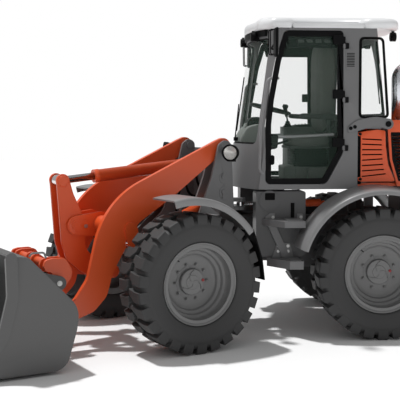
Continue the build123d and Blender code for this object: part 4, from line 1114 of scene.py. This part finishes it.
spoke = Form().loft([[(x, -low, z0), (x, low, z0), (x, high, z1), (x, -high, z1)]
                     for x, low, high, z0, z1 in look["spokeRings"]])
spokes = repeated("spokes", spoke, black, None, rearPlace @ tilt, look["spokes"],
                  turn=(0, 0, 2 * math.pi / look["spokes"]))
boss = Form().spun(look["boss"], (0, 0, 0), (0, 0, 1), 32)
boss.spun(look["knob"], look["knobPlace"], (0, 0, 1), 20)
bossPart = piece("boss", boss, black, None, rearPlace @ tilt, smooth=50)
together("steering_wheel_rim", [rimPart, spokes, bossPart], "rear_frame", "steering_wheel")

dashLook = {
    "pod": [(-0.190, 1.700), (0.060, 1.700), (0.085, 1.780), (0.010, 1.905), (-0.120, 1.935), (-0.200, 1.860)],
    "podHalf": 0.235, "hood": [(-0.150, 1.925), (0.000, 1.900), (-0.010, 1.965), (-0.080, 2.000),
                               (-0.145, 1.990)],
    "hoodHalf": 0.120, "dial": [(0.0, 0.0), (0.0, 0.028), (0.004, 0.031), (0.008, 0.028), (0.008, 0.0)],
    "dialX": -0.150, "dialY": 0.045, "dialZ": 1.965, "dialFacing": (-0.9, 0, 0.35),
}
look = dashLook
pod = Form().side(roundedOutline(look["pod"], 0.05, 6), -look["podHalf"], look["podHalf"])
piece("dash_pod", pod, "cabTrim", "rear_frame", rearPlace, edge=0.012, smooth=50)
dashHood = Form().side(roundedOutline(look["hood"], 0.03, 6), -look["hoodHalf"], look["hoodHalf"])
piece("dash_hood", dashHood, black, "rear_frame", rearPlace, edge=0.008)
dials = Form()
for y in (look["dialY"], -look["dialY"]):
    dials.spun(look["dial"], (look["dialX"], y, look["dialZ"]), look["dialFacing"], 24)
piece("dash_dials", dials, "gaugeFace", "rear_frame", rearPlace)
lever = Form().tube(bent([(-0.175, 0.030, 1.985), (-0.200, 0.110, 2.010), (-0.215, 0.190, 2.030)], 0.05),
                    0.007, 8)
lever.tube([(-0.205, 0.160, 2.022), (-0.216, 0.215, 2.036)], 0.012, 10)
piece("column_lever", lever, black, "rear_frame", rearPlace)

consoleLook = {
    "stickY": -0.330, "stickX": -0.480, "bootZ": 1.898, "stemRadius": 0.009,
    "boot": [(0.0, 0.0), (0.0, 0.046), (0.012, 0.042), (0.020, 0.030), (0.030, 0.032), (0.040, 0.022),
             (0.050, 0.024), (0.062, 0.013), (0.062, 0.0)],
    "gripXZ": ((-0.470, 2.000), (-0.466, 2.030), (-0.455, 2.075), (-0.447, 2.110), (-0.447, 2.128)),
    "gripRadii": [0.014, 0.019, 0.021, 0.023, 0.013],
    "panel": [(-0.790, 1.898), (-0.560, 1.898), (-0.550, 1.915), (-0.790, 1.930)], "keys": 5,
    "keyStep": (-0.034, 0, 0.0021), "pedal": [(-0.205, 1.400), (-0.150, 1.372), (-0.060, 1.480),
                                              (-0.075, 1.492)],
    "pedalSpans": ((0.120, 0.180), (-0.190, -0.130)),
}
look = consoleLook
y = look["stickY"]
stick = Form().spun(look["boot"], (look["stickX"], y, look["bootZ"]), (0, 0, 1), 24)
stick.tube([(look["stickX"], y, 1.950), (-0.470, y, 2.010)], look["stemRadius"], 10)
stick.tube([(x, y, z) for x, z in look["gripXZ"]], look["gripRadii"], 14)
piece("lift_joystick", stick, black, "rear_frame", rearPlace, smooth=50)
panel = Form().side(roundedOutline(look["panel"], 0.006), -0.500, -0.340)
piece("console_panel", panel, black, "rear_frame", rearPlace, edge=0.003)
key = Form().box(-0.596, -0.580, -0.480, -0.462, 1.915, 1.926)
repeated("console_keys", key, "cabTrim", "rear_frame", rearPlace, look["keys"], shift=look["keyStep"])
pedals = Form()
for y0, y1 in look["pedalSpans"]:
    pedals.side(roundedOutline(look["pedal"], 0.004), y0, y1)
piece("foot_pedals", pedals, black, "rear_frame", rearPlace, edge=0.002)

liningLook = {
    "mat": [(-0.640, -0.560), (0.0, -0.520), (0.0, 0.520), (-0.640, 0.560)],
    "header": [(-0.300, 2.625), (-0.262, 2.772), (-0.930, 2.772), (-0.930, 2.625)],
    "louvre": [(-0.400, 2.672), (-0.392, 2.702), (-0.448, 2.702), (-0.456, 2.672)], "louvres": 5,
    "louvreStep": (-0.082, 0, 0),
    "shadeSheet": [(-0.985, 1.432), (-0.985, 1.838), (-1.190, 1.838), (-1.205, 1.600), (-1.262, 1.432)],
}
look = liningLook
mat = Form().plan(roundedOutline(look["mat"], 0.06), 1.3665, 1.372)
piece("floor_mat", mat, "rubberSeal", "rear_frame", rearPlace)
lining = Form().box(-1.05, -0.30, -0.600, 0.600, 2.765, 2.795)
piece("roof_lining", lining, "cabTrim", "rear_frame", rearPlace, edge=0.006)
for hand, sign in bothHands:
    flip = sign < 0
    header = Form().side(roundedOutline(look["header"], 0.01), 0.604, 0.622)
    piece(f"roof_header_{hand}", header, black, "rear_frame", rearPlace, edge=0.003, mirrored=flip)
    louvre = Form().side(roundedOutline(look["louvre"], 0.006), 0.6215, 0.6245)
    repeated(f"roof_header_louvres_{hand}", louvre, "seatShell", "rear_frame", rearPlace, look["louvres"],
             shift=look["louvreStep"], mirrored=flip)
    strip = Form().box(-0.990, -0.938, 0.618, 0.648, 1.372, 1.866)
    piece(f"cab_rear_strip_{hand}", strip, "rubberSeal", "rear_frame", rearPlace, mirrored=flip)
    # painted shade: a near-black sheet in the side vent's opening
    shadeSheet = Form().side(look["shadeSheet"], 0.618, 0.630)
    piece(f"side_vent_baffle_{hand}", shadeSheet, "paintedOpeningShade", "rear_frame", rearPlace, mirrored=flip)
print("cab inside ready")

# fasteners, pins and small fittings
sideBolts = (                        # name, places, radius, height, finish, body, where it stands
    ("hood_arm_bolts", ((-0.875, 0.7045, 1.889), (-0.914, 0.7045, 1.901)), 0.012, 0.010, black, "rear_frame",
     rearPlace),
    ("side_vent_bolts", ((-0.972, 0.673, 1.836), (-0.976, 0.673, 1.420)), 0.010, 0.008, black, "rear_frame",
     rearPlace),
    ("step_bolts", ((-0.165, 0.671, 1.074), (-0.425, 0.671, 1.073), (-0.215, 0.671, 0.809),
                    (-0.305, 0.671, 0.808),
                    (-0.215, 0.671, 0.760), (-0.305, 0.671, 0.759)), 0.010, 0.008, "zincBolt", "rear_frame",
     rearPlace),
    ("tank_cover_bolts", ((-0.065, 0.669, 1.261), (-0.198, 0.669, 1.260), (-0.131, 0.669, 1.150)), 0.008, 0.006,
     "darkPaint", "rear_frame", rearPlace),
    ("keeper_bolts", ((0.517, 0.434, 1.684), (0.517, 0.434, 1.459), (0.516, 0.434, 1.256)), 0.011, 0.010,
     "greyPaint", "front_frame", frontPlace),
)
armBolts = (
    ("crank_pin_bolt", ((1.752, 0.130, 1.030),), 0.012, 0.012, "zincBolt", "lift_arms", frontPlace),
    ("crank_top_bolt", ((1.919, 0.092, 1.385),), 0.009, 0.008, "orangePaint", "bell_crank", frontPlace),
    ("bucket_bar_bolt", ((2.135, 0.467, 0.603), (2.140, 0.473, 0.300)), 0.016, 0.012, "zincBolt", "bucket",
     frontPlace),
)
fittingLook = {
    "keepers": ((0.517, 1.709, 0.048), (0.517, 1.434, 0.048), (0.516, 1.296, 0.055)), "keeperHalf": 0.0375,
    "pinHead": [(0.0, 0.0), (0.0, 0.027), (0.008, 0.027), (0.011, 0.023), (0.011, 0.0)],
    "tread": [(-0.245, 0.700), (-0.262, 0.890), (-0.402, 0.890), (-0.402, 0.700)], "ribs": 8, "ribStep": 0.0235,
    "ribSpans": (("step_ribs", -0.395, -0.262, 1.0600, 1.0645),
                 ("low_step_ribs", -0.388, -0.300, 0.6995, 0.7045)),
    "loop": [(2.456, 1.000, 0.905), (2.470, 1.000, 0.950), (2.570, 1.000, 0.950), (2.590, 1.000, 0.925)],
    "loopRadius": 0.008,
}


def boltRow(row, hand, sign):
    name, spots, radius, height, finish, body, place = row
    bolts(f"{name}_{hand}", [(x, sign * y, z) for x, y, z in spots], (0, sign, 0), radius, height, finish, body,
          place)


for row in sideBolts:
    for hand, sign in bothHands:
        boltRow(row, hand, sign)
for hand, sign in bothHands:
    flip = sign < 0
    look = fittingLook
    keepers = Form()
    for x, z, halfTall in look["keepers"]:
        keepers.side(oval(x, z, look["keeperHalf"], halfTall), 0.424, 0.4295)
        keepers.side(oval(x, z + 0.010, 0.020, 0.022), 0.4290, 0.438)
    piece(f"pin_keepers_{hand}", keepers, "greyPaint", "front_frame", frontPlace, edge=0.0015, mirrored=flip)
    head = Form().spun(look["pinHead"], (-1.227, 0.7035, 1.928), (0, 1, 0), 28)
    piece(f"hood_pin_head_{hand}", head, black, "rear_frame", rearPlace, mirrored=flip)
    # painted shade: the tank cover's hole and the strip beside it are near-black sheets
    cover = Form().side(roundedOutline(rectangle(-0.182, -0.090, 1.232, 1.296), 0.008), 0.667, 0.6705)
    piece(f"tank_cover_hole_{hand}", cover, "paintedOpeningShade", "rear_frame", rearPlace, mirrored=flip)
    strip = Form().box(-0.363, -0.331, 0.659, 0.672, 1.070, 1.204)
    piece(f"tank_strip_{hand}", strip, "paintedOpeningShade", "rear_frame", rearPlace, edge=0.003, mirrored=flip)
    tread = Form().plan(roundedOutline(look["tread"], 0.01), 1.0575, 1.0605)
    piece(f"step_tread_{hand}", tread, "castGrey", "rear_frame", rearPlace, mirrored=flip)
    for name, x0, x1, z0, z1 in look["ribSpans"]:
        repeated(f"{name}_{hand}", Form().box(x0, x1, 0.705, 0.713, z0, z1), "lightGreyPaint", "rear_frame",
                 rearPlace, look["ribs"], shift=(0, look["ribStep"], 0), mirrored=flip)
    for row in armBolts:
        boltRow(row, hand, sign)
    loop = Form().tube(bent(look["loop"], 0.02), look["loopRadius"], 10)
    piece(f"bucket_loop_{hand}", loop, "greyPaint", "bucket", frontPlace, smooth=60, mirrored=flip)
    tail = Form().end(roundedOutline(rectangle(0.430, 0.560, 1.205, 1.285), 0.015), -2.600, -2.571)
    piece(f"tail_lamp_{hand}", tail, "redLens", "rear_frame", rearPlace, edge=0.005, mirrored=flip)
print("fittings ready")

# hydraulic hoses
hoseLook = {
    "radius": 0.011, "collar": 0.016, "collarLength": 0.045, "corner": 0.07,
    "tower_hose": [(0.440, 0.190, 1.500), (0.520, 0.190, 1.450), (0.640, 0.180, 1.300), (0.700, 0.180, 0.960),
                   (0.620, 0.200, 0.900)],
    "tilt_hose": [(0.440, 0.110, 1.620), (0.520, 0.115, 1.640), (0.640, 0.120, 1.450), (0.560, 0.130, 1.240),
                  (0.440, 0.130, 1.220)],
}


def hose(name, points, body, place, mirrored):
    line = Form().tube(bent(points, hoseLook["corner"], 8), hoseLook["radius"], 12)
    for a, b in ((points[0], points[1]), (points[-1], points[-2])):
        a, b = Vector(a), Vector(b)
        line.tube([a, a + (b - a).normalized() * hoseLook["collarLength"]], hoseLook["collar"], 12)
    piece(name, line, "rubberSeal", body, place, smooth=60, mirrored=mirrored)


for hand, sign in bothHands:
    for name in ("tower_hose", "tilt_hose"):
        hose(f"{name}_{hand}", hoseLook[name], "front_frame", frontPlace, sign < 0)
print("hoses ready")
